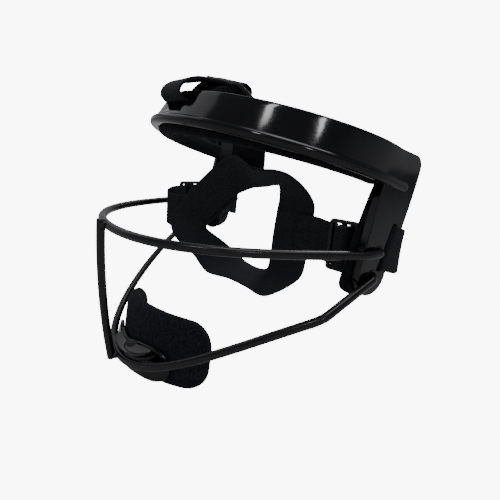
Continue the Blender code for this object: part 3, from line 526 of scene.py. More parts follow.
band = shown("band", along_band(band_stations, band_section), gloss)
across_brow = brow_slot_place() @ Matrix.Rotation(math.pi / 2, 4, "Z")
brow_slot = rounded_bar((4 * BAND_WALL, SLOT_LENGTH, BROW_SLOT_HEIGHT), SLOT_CORNER, across_brow)
cut_away(band, shown("brow_slot", brow_slot, gloss))
moulded = [band]
ahead = Vector((0.0, -1.0, 0.0))
to_bend = Vector((0.0, JAW_BEND_DEPTH - LOWER_HOLE_DEPTH, LOWER_HOLE_DROP - JAW_BEND_DROP)).normalized()
for side in (1, -1):
    leg = shown("leg", leg_plate(side), gloss)
    slot = rounded_bar((4 * LEG_THICKNESS, SLOT_WIDTH, SLOT_LENGTH), SLOT_CORNER, slot_place(side))
    cut_away(leg, shown("slot", slot, gloss))
    for depth, drop, way, reach in (
        (UPPER_HOLE_DEPTH, 0.0, ahead, UPPER_SEAT_REACH),
        (LOWER_HOLE_DEPTH, LOWER_HOLE_DROP, to_bend, LOWER_SEAT_REACH),
    ):
        ends = [Vector(((HALF_WIDTH + k * 2 * LEG_THICKNESS) * side, depth, -drop)) for k in (-1, 1)]
        cut_away(leg, shown("hole", rod(ends, HOLE_DIAMETER, 28), gloss))
        moulded.append(shown("seat", wire_seat(side, depth, drop, way, reach), gloss))
    moulded.append(leg)
    nub = bmesh.new()
    bmesh.ops.create_uvsphere(nub, u_segments=28, v_segments=18, radius=BEAD_RADIUS)
    end = band_point(band_side * side, BAND_END, BEAD_LEVEL - BEAD_RADIUS)
    bmesh.ops.translate(nub, verts=nub.verts, vec=end)
    moulded.append(shown("nub", nub, gloss))
moulding = merged("moulded_frame", moulded, gloss)
flat_faces = moulding.modifiers.new("flat faces", "WEIGHTED_NORMAL")
flat_faces.keep_sharp = True
settle(moulding)
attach(moulding, "root")
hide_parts("frame")


# Wire cage
# Three lengths of 4.75 mm steel rod, cold bent, with their ends pushed into the legs' holes. The centre wire
# is welded to the outside of the other two, and the whole cage is dipped in black vinyl, which fills the
# corners at the welds.

WIRE_GAP = 0.0003
WIRE_X = HALF_WIDTH + WIRE_GAP + WIRE_DIAMETER / 2
WIRE_REACH = 0.1119
WIRE_BEND = 0.0032
CLEAR_OF_LEG = -0.0088
JAW_REACH = 0.1059
JAW_DROP = 0.0800
CENTRE_BOW = 0.0018
CENTRE_OVERRUN = 0.0030
UPPER_WELD_SINK = 0.0017
LOWER_WELD_SINK = 0.0003
CENTRE_WIRE_DIAMETER = 0.98 * WIRE_DIAMETER
WELD_SIZE = Vector((0.44, 0.40, 0.50)) * WIRE_DIAMETER
WELD_ASIDE = 0.46 * WIRE_DIAMETER
WELD_AHEAD = 0.44 * WIRE_DIAMETER
WELD_UNEVEN = 0.16
WIRE_SIDES = 24
WIRE_STEPS = 44
CENTRE_STEPS = 24

vinyl = grained(
    finish_of("vinyl-dipped steel", (0.006, 0.006, 0.007), 0.26, Specular_IOR_Level=0.50),
    low=(0.0045, 0.0046, 0.0054), high=(0.0080, 0.0082, 0.0092), cloud_scale=90.0, cloud_detail=5.0,
    roughness=(0.18, 0.30), grain_scale=300.0, grain_depth=0.00003,
)


def wire_end(depth, drop, way):
    """The wire's last stretch: out of the hole in the leg, and round a bend to run along the leg."""
    start = Vector((HALF_WIDTH - 0.75 * LEG_THICKNESS, depth, -drop))
    pivot = Vector((WIRE_X - WIRE_BEND, depth, -drop)) + way * WIRE_BEND
    bend = arc((0.0, 0.0), WIRE_BEND, 0.0, math.pi / 2, 10)
    return [start] + [pivot + Vector((out, 0.0, 0.0)) - way * back for back, out in bend]


def mirrored(half):
    """The half from the wearer's left, and then the same on the right."""
    return half + [Vector((-p.x, p.y, p.z)) for p in reversed(half[:-1])]


upper_half = wire_end(UPPER_HOLE_DEPTH, 0.0, ahead) + bezier(
    Vector((WIRE_X, CLEAR_OF_LEG, 0.0)),
    Vector((0.85 * WIRE_X, -0.38 * WIRE_REACH, 0.0)),
    Vector((0.72 * WIRE_X, -WIRE_REACH, 0.0)),
    Vector((0.0, -WIRE_REACH, 0.0)),
    WIRE_STEPS,
)
upper_wire = mirrored(upper_half)

jaw_bend = Vector((WIRE_X, JAW_BEND_DEPTH, -JAW_BEND_DROP))
jaw_hole = Vector((WIRE_X, LOWER_HOLE_DEPTH, -LOWER_HOLE_DROP))
jaw_curve = bezier(
    jaw_bend,
    Vector((0.70 * WIRE_X, -0.705 * JAW_REACH, -0.665 * JAW_DROP)),
    Vector((0.438 * WIRE_X, -JAW_REACH, -JAW_DROP)),
    Vector((0.0, -JAW_REACH, -JAW_DROP)),
    WIRE_STEPS,
)
# The bend itself is rounded over a short length of rod
bend_start = jaw_hole.lerp(jaw_bend, 0.90)
bend_end = jaw_curve[2]
rounded_bend = bezier(bend_start, bend_start.lerp(jaw_bend, 0.7), jaw_bend.lerp(bend_end, 0.3), bend_end, 8)
lower_half = (
    wire_end(LOWER_HOLE_DEPTH, LOWER_HOLE_DROP, to_bend)
    + [jaw_hole.lerp(bend_start, share) for share in (0.35, 0.65, 0.85)]
    + rounded_bend
    + jaw_curve[3:]
)
lower_wire = mirrored(lower_half)

centre_top = Vector((0.0, UPPER_WELD_SINK - WIRE_DIAMETER - WIRE_REACH, 0.0))
centre_foot = Vector((0.0, LOWER_WELD_SINK - WIRE_DIAMETER - JAW_REACH, -JAW_DROP))
overrun = CENTRE_OVERRUN / (centre_top - centre_foot).length
centre_wire = []
for i in range(CENTRE_STEPS + 1):
    share = -overrun + (1 + 2 * overrun) * i / CENTRE_STEPS
    bow = Vector((0.0, -4 * CENTRE_BOW * share * (1 - share), 0.0))
    centre_wire.append(centre_top.lerp(centre_foot, share) + bow)


def weld_bead(centre):
    """A small uneven bead of weld under the coating."""
    bm = bmesh.new()
    bmesh.ops.create_icosphere(bm, subdivisions=3, radius=1.0)
    for vert in bm.verts:
        swell = 1 + WELD_UNEVEN * noise.noise(vert.co * 1.7 + centre * 900)
        vert.co = vert.co * WELD_SIZE * swell + centre
    return bm


wires = [
    shown("upper", rod(upper_wire, WIRE_DIAMETER, WIRE_SIDES), vinyl),
    shown("lower", rod(lower_wire, WIRE_DIAMETER, WIRE_SIDES), vinyl),
    shown("centre", rod(centre_wire, CENTRE_WIRE_DIAMETER, WIRE_SIDES), vinyl),
]
for reach, drop in ((WIRE_REACH, 0.0), (JAW_REACH, JAW_DROP)):
    for side in (-1, 1):
        middle = Vector((WELD_ASIDE * side, -reach - WELD_AHEAD, -drop))
        wires.append(shown("weld", weld_bead(middle), vinyl))
cage = merged("dipped_wire_cage", wires, vinyl)
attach(cage, "root")
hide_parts("wire_cage")


# Brow pad
# A strip of closed-cell foam faced with brushed knit, heat-pressed with two shallow lines along its inner
# face and glued round the inside of the band. It hangs a little below the bead.

BROW_PAD_HANG_FRONT = 0.0034
BROW_PAD_HANG_SIDE = 0.0014
BROW_PAD_TOP = 0.0450
BROW_PAD_ROUND = 0.0028
BROW_PAD_BACK_EDGE = 0.0010
BROW_PAD_BELLY = 0.0005
PRESSED_LINE = 0.0007
PRESSED_LINE_WIDTH = 0.055
PRESSED_LINES_AT = (0.30, 0.72)
PAD_PRESSURE = 4.0
PAD_MOMENTS = 20

knit = grained(
    finish_of(
        "brushed knit", (0.006, 0.006, 0.007), 0.9,
        Specular_IOR_Level=0.12, Sheen_Weight=0.02, Sheen_Roughness=0.5,
    ),
    low=(0.0060, 0.0062, 0.0080), high=(0.0150, 0.0153, 0.0185), cloud_scale=420.0, cloud_detail=8.0,
    roughness=(0.82, 0.98), grain_scale=2600.0, grain_depth=0.00022,
)


def swollen(piece, fineness, most):
    """Foam that presses its cover out: cloth simulated under pressure, with the most that a point moves."""
    even = piece.modifiers.new("even mesh", "REMESH")
    even.mode = "VOXEL"
    even.voxel_size = fineness
    settle(piece)
    start = [vert.co.copy() for vert in piece.data.vertices]
    cover = piece.modifiers.new("cover", "CLOTH")
    cover.settings.use_pressure = True
    cover.settings.uniform_pressure_force = PAD_PRESSURE
    cover.settings.effector_weights.gravity = 0.0
    for moment in range(1, PAD_MOMENTS + 1):
        bpy.context.scene.frame_set(moment)
    settle(piece)
    bpy.context.scene.frame_set(1)
    for vert, place in zip(piece.data.vertices, start):
        move = vert.co - place
        vert.co = place + move * (most / max(most, move.length))
    finer = piece.modifiers.new("finer", "SUBSURF")
    finer.levels = 1
    settle(piece)
    piece.data.shade_smooth()


def brow_pad_section(lean, sunk):
    """The pad against the panel's inner face, with rounded lower edges and two pressed lines."""
    front = (lean - PANEL_LEAN_SIDE) / (PANEL_LEAN_FRONT - PANEL_LEAN_SIDE)
    hang = BROW_PAD_HANG_SIDE + (BROW_PAD_HANG_FRONT - BROW_PAD_HANG_SIDE) * front
    low = BEAD_LEVEL - 2 * BEAD_RADIUS - hang
    top = BROW_PAD_TOP
    back = -BAND_WALL - PAD_GAP
    face = back - BROW_PAD_THICKNESS
    lift = panel_inset(lean, top)
    low_corner = low + BROW_PAD_ROUND
    high_corner = top - BROW_PAD_ROUND
    face_points = []
    for share in (k / 24 for k in range(1, 24)):
        level = low_corner + (high_corner - low_corner) * share
        press = sum(math.exp(-(((share - at) / PRESSED_LINE_WIDTH) ** 2)) for at in PRESSED_LINES_AT)
        belly = BROW_PAD_BELLY * math.sin(math.pi * share)
        face_points.append((face - 0.4 * lift * share + PRESSED_LINE * press - belly, level))
    return (
        arc((back - BROW_PAD_ROUND, low_corner), BROW_PAD_ROUND, 0.0, -math.pi / 2, 7)
        + arc((face + BROW_PAD_ROUND, low_corner), BROW_PAD_ROUND, -math.pi / 2, -math.pi, 7)
        + face_points
        + arc((face + BROW_PAD_ROUND - 0.6 * lift, high_corner), BROW_PAD_ROUND, math.pi, math.pi / 2, 6)
        + [(back - BROW_PAD_BACK_EDGE - lift, top), (back - lift, top - BROW_PAD_BACK_EDGE)]
        + [(back, BEAD_LEVEL)]
    )


curved_stations = [station for station in band_stations if station[0].y > BAND_STRAIGHT - 0.0001]
brow_pad = shown("brow_pad_cover", along_band(curved_stations, brow_pad_section), knit, 60.0)
swollen(brow_pad, fineness=0.0011, most=0.00025)
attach(brow_pad, "root")
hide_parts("brow_pad")


# Leg pads
# A strip of the same knit-faced foam on each leg's inner face, thicker towards the foot, where it touches
# the cheekbone. Its edge is heat-cut and rounds over.

LEG_PAD_WIDTH = 0.0125
LEG_PAD_OVERHANG = 0.0020
LEG_PAD_TOP = 0.0365
LEG_PAD_THIN = 0.0020
LEG_PAD_THICK = 0.0072
LEG_PAD_EASE = 0.0018
LEG_PAD_WALL = 0.35
LEG_PAD_SPINE_TOP = 0.0300


def leg_pad_body(side):
    """The strip from its glued face to its soft one, narrowing as its edges round over."""
    half = LEG_PAD_WIDTH / 2
    foot_depth = FOOT_DEPTH - FOOT_RADIUS - LEG_PAD_OVERHANG + half
    outline = arc((foot_depth, -FOOT_DROP - FOOT_RADIUS + half), half, math.pi, 2 * math.pi, 22)
    steps = 16
    drop = LEG_PAD_TOP + FOOT_DROP
    levels = [-FOOT_DROP + drop * i / steps for i in range(steps + 1)]
    front = [(leg_edge(h, False) - LEG_PAD_OVERHANG * (LEG_PAD_TOP - h) / drop, h) for h in levels]
    rear = [(d + LEG_PAD_WIDTH, h) for d, h in front]
    points = [Vector((0.0, d, h)) for d, h in outline + rear + list(reversed(front))]
    middle_depth = [leg_edge(min(max(p.z, -FOOT_DROP), LEG_PAD_TOP), False) + half for p in points]
    seat = HALF_WIDTH - LEG_THICKNESS - PAD_GAP
    rings = []
    for k in range(9):
        turn = math.pi / 2 * k / 8
        share = LEG_PAD_WALL + (1 - LEG_PAD_WALL) * math.sin(turn) if k else 0.0
        shrink = LEG_PAD_EASE * (1 - math.cos(turn))
        ring = []
        for point, depth in zip(points, middle_depth):
            fall = (LEG_PAD_TOP - point.z) / (drop + FOOT_RADIUS)
            thick = LEG_PAD_THIN + (LEG_PAD_THICK - LEG_PAD_THIN) * fall
            spine = max(min(point.z, LEG_PAD_SPINE_TOP), -FOOT_DROP)
            towards = Vector((0.0, depth - point.y, spine - point.z))
            inward = towards.normalized() * min(shrink, towards.length)
            ring.append(point + inward + Vector(((seat - thick * share) * side, 0.0, 0.0)))
        rings.append(ring)
    return lofted(rings)


for side, word in ((1, "left"), (-1, "right")):
    leg_pad = shown(f"leg_pad_cover_{word}", leg_pad_body(side), knit, 60.0)
    swollen(leg_pad, fineness=0.0008, most=0.00025)
    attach(leg_pad, "root")
    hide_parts(f"leg_pad_{word}")


# Chin cup
# A thin hard shell moulded in the same gloss nylon as the frame. It sits behind the lower wire, with two
# rounded lobes above it and a slight dip between them. Its face sweeps out to a ledge that rests on the wire.

CUP_RADIUS = 0.0690
CUP_ARC = math.radians(34.0)
CUP_HEIGHT = 0.0205
CUP_WALL = 0.0025
CUP_CROWN = 0.0012
CUP_NOTCH = 0.0022
CUP_CLEARANCE = 0.0024
CUP_LEDGE_PAST_WIRE = 0.0004
CUP_LEDGE_THICKNESS = 0.0016
CUP_LEDGE_ARC = 0.82 * CUP_ARC
CUP_LEDGE_HIGHEST = 0.43 * CUP_HEIGHT
CUP_LEDGE_RUN_OUT = 0.16
CUP_LEDGE_TUCK = 0.30
CUP_LEDGE_LEAST_RISE = 0.0002
CUP_FACE_SINK = 0.0001
CUP_STRAIGHT = 0.62
CUP_NOTCH_WIDTH = 0.22
CHIN_ROLL = math.radians(6.5)
CHIN_PITCH = math.radians(-8.0)
CHIN_SINK = 0.0022
CHIN_YAW = math.radians(4.0)
CHIN_SHIFT = 0.0045

chin_front = Vector((-CHIN_SHIFT, -JAW_REACH + WIRE_DIAMETER / 2 + CUP_CLEARANCE, -JAW_DROP - CHIN_SINK))
chin_place = (
    Matrix.Translation(chin_front)
    @ Matrix.Rotation(CHIN_YAW, 4, "Z")
    @ Matrix.Rotation(-CHIN_ROLL, 4, "Y")
    @ Matrix.Rotation(CHIN_PITCH, 4, "X")
)


def on_cup(angle, radius, height):
    """A point on a surface round the cup's upright axis."""
    return chin_place @ Vector((radius * math.sin(angle), CUP_RADIUS - radius * math.cos(angle), height))


def cup_span(share):
    """Top and bottom of the cup at a share of its arc, from -1 to 1: rounded ends and a dip in the middle."""
    past = max(0.0, abs(share) - CUP_STRAIGHT) / (1 - CUP_STRAIGHT)
    half = CUP_HEIGHT / 2 * math.sqrt(max(0.03, 1 - past * past))
    dip = CUP_NOTCH * math.exp(-((share / CUP_NOTCH_WIDTH) ** 2))
    return half - dip, -half


def eased_shares(steps):
    """Shares from -1 to 1 that lie closer together towards both ends."""
    return [math.sin(math.pi / 2 * (-1 + 2 * i / steps)) for i in range(steps + 1)]


cup_rings = []
rim = CUP_WALL / 2
for share in eased_shares(96):
    top, low = cup_span(share)
    outer = []
    inner = []
    for k in range(19):
        height = low + rim + (top - low - CUP_WALL) * k / 18
        crown = CUP_CROWN * (2 * height / CUP_HEIGHT) ** 2
        outer.append((CUP_RADIUS - crown, height))
        inner.append((CUP_RADIUS - CUP_WALL - crown, height))
    (low_radius, low_height), (top_radius, top_height) = outer[0], outer[-1]
    top_rim = arc((top_radius - rim, top_height), rim, 0.0, math.pi, 7)[1:-1]
    low_rim = arc((low_radius - rim, low_height), rim, math.pi, 2 * math.pi, 7)[1:-1]
    section = outer + top_rim + list(reversed(inner)) + low_rim
    cup_rings.append([on_cup(share * CUP_ARC, r, h) for r, h in section])
cup_shell = shown("shell", lofted(cup_rings), gloss)

into_cup = chin_place.inverted()
over_wire = []
for point in lower_wire:
    local = into_cup @ point
    angle = math.atan2(local.x, CUP_RADIUS - local.y)
    seat = local.z + WIRE_DIAMETER / 2 + PAD_GAP
    low_enough = seat + CUP_LEDGE_THICKNESS < CUP_LEDGE_HIGHEST
    if point.y < -0.5 * JAW_REACH and abs(angle) < CUP_LEDGE_ARC and low_enough:
        over_wire.append((angle, math.hypot(local.x, CUP_RADIUS - local.y) + CUP_LEDGE_PAST_WIRE, seat))
ledge_rings = []
near = CUP_RADIUS - 0.6 * CUP_WALL
face = CUP_RADIUS - CUP_CROWN - CUP_FACE_SINK
nose_radius = CUP_LEDGE_THICKNESS / 2
for i, (angle, reach, seat) in enumerate(over_wire):
    # The nose runs over the wire and dies into the shell where the ledge ends
    to_end = min(i, len(over_wire) - 1 - i) / (len(over_wire) - 1)
    run_out = math.sqrt(1 - (1 - min(1.0, to_end / CUP_LEDGE_RUN_OUT)) ** 2)
    nose_at = near + (reach - near) * (CUP_LEDGE_TUCK + (1 - CUP_LEDGE_TUCK) * run_out) - nose_radius
    nose = arc((nose_at, seat + nose_radius), nose_radius, -math.pi / 2, math.pi / 2, 8)
    top_face = seat + CUP_LEDGE_THICKNESS
    rise = max(CUP_LEDGE_LEAST_RISE, cup_span(angle / CUP_ARC)[0] - rim - top_face)
    shares = [k / 12 for k in range(1, 13)]
    sweep = [(nose_at + (face - nose_at) * share, top_face + rise * share**1.5) for share in shares]
    section = [(near, seat)] + nose + sweep + [(near, top_face + rise)]
    ledge_rings.append([on_cup(angle, r, h) for r, h in section])
cup_ledge = shown("ledge", lofted(ledge_rings), gloss)
chin_cup = merged("moulded_chin_cup", [cup_shell, cup_ledge], gloss)
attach(chin_cup, "root")
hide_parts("chin_cup")


# Chin pad
# Thick soft foam faced on both sides with napped felt, die-cut with big round corners and bent to the
# inside of the cup. The two felts meet in a welded seam round the rim.

CHIN_PAD_ARC = math.radians(53.0)
CHIN_PAD_TOP = 0.0315
CHIN_PAD_BOTTOM = -0.0115
CHIN_PAD_THICKNESS = 0.0090
CHIN_PAD_CORNER = 0.0160
CHIN_PAD_SEAM = 0.0007
CHIN_PAD_SLOPE = 0.0030
CHIN_PAD_THIN_END = 0.07
CHIN_PAD_PUFF = 0.00035
CHIN_PAD_INSET = 0.0005

felt = grained(
    finish_of(
        "napped felt", (0.008, 0.008, 0.009), 0.95,
        Specular_IOR_Level=0.10, Sheen_Weight=0.02, Sheen_Roughness=0.6,
    ),
    low=(0.0080, 0.0083, 0.0110), high=(0.0300, 0.0308, 0.0380), cloud_scale=620.0, cloud_detail=9.0,
    roughness=(0.88, 1.0), grain_scale=1500.0, grain_depth=0.00045,
)


def chin_pad_span(share):
    """Top and bottom of the chin pad at a share of its arc, with rounded corners."""
    width = CUP_RADIUS * CHIN_PAD_ARC
    past = max(0.0, abs(share) * width - (width - CHIN_PAD_CORNER))
    drop = CHIN_PAD_CORNER - math.sqrt(max(0.0, CHIN_PAD_CORNER**2 - past**2))
    slope = CHIN_PAD_SLOPE * share * share
    return CHIN_PAD_TOP - slope - drop, CHIN_PAD_BOTTOM + 0.8 * drop


pad_rings = []
belly = CHIN_PAD_THICKNESS / 2
pad_radius = CUP_RADIUS - CUP_WALL - CUP_CROWN - PAD_GAP - belly
for share in eased_shares(120):
    top, low = chin_pad_span(share)
    middle = (top + low) / 2
    half = (top - low) / 2 - CHIN_PAD_INSET
    past = max(0.0, (abs(share) - (1 - CHIN_PAD_THIN_END)) / CHIN_PAD_THIN_END)
    thin = math.sqrt(max(0.05, 1 - past**2))
    ring = []
    for turn in (2 * math.pi * k / 56 for k in range(56)):
        out = math.copysign(abs(math.cos(turn)) ** 0.5, math.cos(turn))
        up = math.copysign(abs(math.sin(turn)) ** 0.42, math.sin(turn))
        # The pinched seam where the two felts are welded
        pinch = CHIN_PAD_SEAM * math.exp(-((math.cos(turn) / 0.10) ** 2))
        puff = CHIN_PAD_PUFF * noise.noise(Vector((share * 6, out * 1.5, up * 3)))
        radius = pad_radius + (belly + puff) * thin * out
        ring.append(on_cup(share * CHIN_PAD_ARC, radius, middle + (half + pinch) * up))
    pad_rings.append(ring)
chin_pad = shown("felt_chin_pad", lofted(pad_rings), felt, 60.0)
swollen(chin_pad, fineness=0.0011, most=0.0005)
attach(chin_pad, "root")
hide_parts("chin_pad")


# Harness ring
# One length of 25 mm knitted elastic, bent into a loop for the ponytail with its rounded end lapped over its
# other end and stitched. It hangs slack, with a twist at the top and soft folds at the corners.

WEB_WIDTH = 0.0254
WEB_THICKNESS = 0.0016
LAYER = WEB_THICKNESS + PAD_GAP
HUG = PAD_GAP + WEB_THICKNESS / 2
RING_TURN = math.radians(30.0)
RING_WIDTH = 0.0980
RING_HEIGHT = 0.0610
RING_MIDDLE = Vector((-0.0086, -0.0210, -0.0040))
# The ring's inner edge, once round from the end that is lapped over the other. Across and up are shares of
# half its width and height. Outward is the direction that the webbing lies in and tip how far it tips to
# the front, both in degrees. Reach is a share of the webbing's width, and layer counts thicknesses.
RING_SECTIONS = (
    # Across, up, outward, tip, reach, layer
    (-0.50, -0.09, 150, 0, 1.00, 1.0),
    (-0.37, 0.13, 138, 0, 1.00, 1.0),
    (-0.10, 0.56, 132, 0, 1.00, 1.0),
    (0.08, 0.74, 122, 8, 1.00, 1.0),
    (0.21, 0.84, 112, 34, 1.00, 0.8),
    (0.35, 0.89, 103, 58, 1.00, 0.5),
    (0.47, 0.95, 90, 66, 1.00, 0.2),
    (0.54, 0.97, 66, 64, 1.00, 0.0),
    (0.56, 0.91, 42, 52, 1.00, 0.0),
    (0.57, 0.79, 22, 34, 1.00, 0.0),
    (0.57, 0.64, 9, 13, 1.00, 0.0),
    (0.56, 0.47, 2, 0, 1.00, 0.0),
    (0.54, -0.13, 0, 0, 1.00, 0.0),
    (0.54, -0.53, -2, 0, 1.00, 0.0),
    (0.53, -0.79, -12, 14, 1.00, 0.0),
    (0.51, -0.93, -50, 54, 1.00, 0.0),
    (0.43, -0.98, -84, 77, 1.00, 0.0),
    (0.30, -0.96, -95, 80, 1.00, 0.0),
    (0.16, -0.88, -101, 76, 1.00, 0.0),
    (-0.05, -0.67, -110, 52, 1.00, 0.0),
    (-0.20, -0.54, -118, 22, 1.00, 0.0),
    (-0.43, -0.38, -124, 0, 1.00, 0.0),
    (-0.50, -0.33, -140, 0, 1.05, 0.0),
    (-0.53, -0.29, -162, 0, 1.24, 0.0),
    (-0.53, -0.24, 174, 0, 1.30, 0.0),
    (-0.49, -0.17, 152, 0, 1.06, 0.0),
    (-0.37, 0.02, 137, 0, 1.00, 0.0),
    (-0.16, 0.34, 134, 0, 1.00, 0.0),
    (-0.04, 0.52, 134, 0, 1.00, 0.0),
)

# The weave is drawn in millimetres across and along the webbing: raised ribs, with stitches that step from
# one rib to the next. Its colour follows the same height: painted shade darkens the valleys between the
# ribs and stitches, and the rib tops are painted lighter; the fuzz adds tone that differs at random
RIB_PITCH = 1.27
STITCH_PITCH = 0.85
FUZZ = 0.6
WEAVE_DEPTH = 0.00011
LOW_ELASTIC_AND_VALLEY_SHADE = (0.0120, 0.0124, 0.0150)
HIGH_ELASTIC_AND_RIB_LIGHT = (0.0340, 0.0348, 0.0400)
LOW_HEIGHT, HIGH_HEIGHT = 0.25, 0.923077

elastic = finish_of(
    "knitted elastic", (0.005, 0.005, 0.006), 0.85,
    Specular_IOR_Level=0.10, Sheen_Weight=0.02, Sheen_Roughness=0.5,
)
add, link, worked = node_tools(elastic.node_tree)
shader = elastic.node_tree.nodes["Principled BSDF"]
unrolled = add("ShaderNodeUVMap").outputs["UV"]
woven = add("ShaderNodeSeparateXYZ")
link(unrolled, woven.inputs["Vector"])
rib_number = worked("DIVIDE", woven.outputs["X"], RIB_PITCH)
rib = worked("ABSOLUTE", worked("SINE", worked("MULTIPLY", rib_number, math.pi)))
stagger = worked("MULTIPLY", worked("FLOOR", rib_number), math.pi / 2)
stitch_angle = worked("ADD", worked("MULTIPLY", woven.outputs["Y"], 2 * math.pi / STITCH_PITCH), stagger)
stitch = worked("MULTIPLY_ADD", worked("SINE", stitch_angle), 0.5, 0.5)
knit_height = worked("MULTIPLY", rib, worked("MULTIPLY_ADD", stitch, 0.45, 0.55))
fuzz = add("ShaderNodeTexNoise", Scale=3.0, Detail=6.0, Roughness=0.7)
link(unrolled, fuzz.inputs["Vector"])
height = worked("ADD", knit_height, worked("MULTIPLY", fuzz.outputs["Fac"], FUZZ))
bump = add("ShaderNodeBump", Strength=0.9, Distance=WEAVE_DEPTH)
link(height, bump.inputs["Height"])
link(bump.outputs["Normal"], shader.inputs["Normal"])
# Painted shade in the weave's valleys and a painted highlight on the rib tops, mixed with random fuzz tone
tones = ramp(add, LOW_HEIGHT, LOW_ELASTIC_AND_VALLEY_SHADE, HIGH_HEIGHT, HIGH_ELASTIC_AND_RIB_LIGHT)
link(height, tones.inputs["Fac"])
link(tones.outputs["Color"], shader.inputs["Base Color"])


def smooth(points, steps):
    """A curve through all the points, with this many steps from each to the next."""
    last = len(points) - 1
    found = []
    for i in range(last):
        p = [points[min(max(i + k, 0), last)] for k in (-1, 0, 1, 2)]
        for j in range(steps):
            t = j / steps
            found.append(
                0.5 * (2 * p[1] + (p[2] - p[0]) * t
                       + (2 * p[0] - 5 * p[1] + 4 * p[2] - p[3]) * t**2
                       + (3 * p[1] - p[0] - 3 * p[2] + p[3]) * t**3)
            )
    found.append(points[-1])
    return found


STITCH_LENGTH = 0.0019
STITCH_GAP = 0.0008
STITCH_BULGE = 0.00012
THREAD = 0.00055


def stitched(path, corners, face):
    """Thread on one face of a webbing, along a line of corners: place along the path, and share across."""
    line = []
    ways = directions([point for point, _ in path])
    for (place, across), (next_place, next_across) in zip(corners, corners[1:]):
        for share in (k / 32 for k in range(33)):
            along = place + (next_place - place) * share
            i = min(int(along), len(path) - 2)
            point = path[i][0].lerp(path[i + 1][0], along - i)
            width = path[i][1].lerp(path[i + 1][1], along - i)
            rise = ways[i].cross(width).normalized() * face * WEB_THICKNESS / 2
            aside = width * (across + (next_across - across) * share) / 2
            line.append((point + aside + rise, rise.normalized()))
    stitches = []
    travel = 0.0
    stitch = []
    for (point, rise), (before, _) in zip(line[1:], line):
        travel += (point - before).length
        if travel < STITCH_LENGTH:
            stitch.append((point, rise))
        elif stitch:
            (first, rise), (last, _) = stitch[0], stitch[-1]
            if (last - first).length > 0.5 * STITCH_LENGTH:
                stitches.append(rod([first, first.lerp(last, 0.5) + rise * STITCH_BULGE, last], THREAD, 6))
            stitch = []
        if travel > STITCH_LENGTH + STITCH_GAP:
            travel = 0.0
    return stitches


def webbing(name, path, replaced, seams=()):
    """A strip of elastic with round selvedges along a path of (middle, width vector) pairs, the vector as
    long as the strip is wide, with its stitched seams. Its UV is in millimetres, across and along."""
    edge = WEB_THICKNESS / WEB_WIDTH
    flat = 12
    section = [(-1 + edge + 2 * (1 - edge) * k / flat, -1.0) for k in range(flat + 1)]
    section += [(1 - edge + edge * math.sin(a), -math.cos(a)) for a in (math.pi * k / 5 for k in range(1, 5))]
    section += [(-a, 1.0) for a, _ in section[:flat + 1]]
    section += [(-1 + edge - edge * math.sin(a), math.cos(a)) for a in (math.pi * k / 5 for k in range(1, 5))]
    bm = bmesh.new()
    uv = bm.loops.layers.uv.new("knit")
    rows = []
    travel = 0.0
    before = path[0][0]
    for (point, width), way in zip(path, directions([point for point, _ in path])):
        travel += (point - before).length
        before = point
        rise = way.cross(width).normalized() * (WEB_THICKNESS / 2)
        row = []
        for across, up in section:
            spot = point + width * (across / 2) + rise * up
            row.append((bm.verts.new(spot), across * width.length * 500, travel * 1000))
        rows.append(row)
    sides = len(section)
    for one, two in zip(rows, rows[1:]):
        for j in range(sides):
            corners = (one[j], one[(j + 1) % sides], two[(j + 1) % sides], two[j])
            face = bm.faces.new([corner[0] for corner in corners])
            for loop, corner in zip(face.loops, corners):
                loop[uv].uv = corner[1:]
    for row, turned in ((rows[0], True), (rows[-1], False)):
        face = bm.faces.new([corner[0] for corner in (reversed(row) if turned else row)])
        for loop in face.loops:
            loop[uv].uv = (0.0, 0.0)
    for corners, face in seams:
        for thread in stitched(path, corners, face):
            mesh = bpy.data.meshes.new("stitch")
            thread.to_mesh(mesh)
            thread.free()
            bm.from_mesh(mesh)
            bpy.data.meshes.remove(mesh)
    made = shown(name, bm, elastic, 60.0)
    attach(made, "root")
    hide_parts(replaced)
    return made


ring_across = Vector((math.cos(RING_TURN), math.sin(RING_TURN), 0.0))
ring_up = Vector((0.0, 0.0, 1.0))
ring_turn = Matrix((ring_across, ring_up, ring_across.cross(ring_up))).transposed()
ring_place = Matrix.Translation(RING_MIDDLE) @ ring_turn.to_4x4()
ring_edges = []
ring_widths = []
for across, up, outward, tip, reach, layer in RING_SECTIONS:
    ring_edges.append(Vector((across * RING_WIDTH / 2, up * RING_HEIGHT / 2, layer * LAYER)))
    angle, out = math.radians(outward), math.radians(tip)
    flat_way = Vector((math.cos(angle), math.sin(angle), 0.0)) * math.cos(out)
    ring_widths.append((flat_way + Vector((0.0, 0.0, math.sin(out)))) * (reach * WEB_WIDTH))
ring_path = []
for edge, width in zip(smooth(ring_edges, 8), smooth(ring_widths, 8)):
    ring_path.append((ring_place @ (edge + width / 2), ring_turn @ width))
webbing("elastic_ring", ring_path, "ring_strap", (
    # Across the lapped end, twice
    (((2, -0.82), (2, 0.82)), 1),
    (((7, -0.82), (7, 0.82)), 1),
))


# Sliders
# Three-bar slides moulded in satin acetal, with rounded bars. The elastic goes behind the first bar, over the
# middle one and behind the last, and its end is stitched round the middle bar.

SLIDER_HEIGHT = 0.0310
SLIDER_LENGTH = 0.0195
SLIDER_THICKNESS = 0.0024
SLIDER_BAR = 0.0026
SLIDER_CORNER = 0.0025
SLIDER_WINDOW = 0.0264
SLIDER_EDGE = 0.0006
SLIDER_GAP = (SLIDER_LENGTH - 3 * SLIDER_BAR) / 2
SLIDERS = {
    # Which one: its middle, the way the webbing runs through it and the way its face looks
    "left": ((0.0645, 0.0040, -0.0030), (1.0, 0.15, 0.05), (0.15, -1.0, 0.0)),
    "right": ((-0.0690, -0.0300, 0.0010), (-0.10, 1.0, 0.02), (-1.0, -0.10, 0.0)),
    "top": ((0.0025, -0.0420, 0.0780), (0.222, -0.893, 0.393), (0.095, 0.421, 0.903)),
}

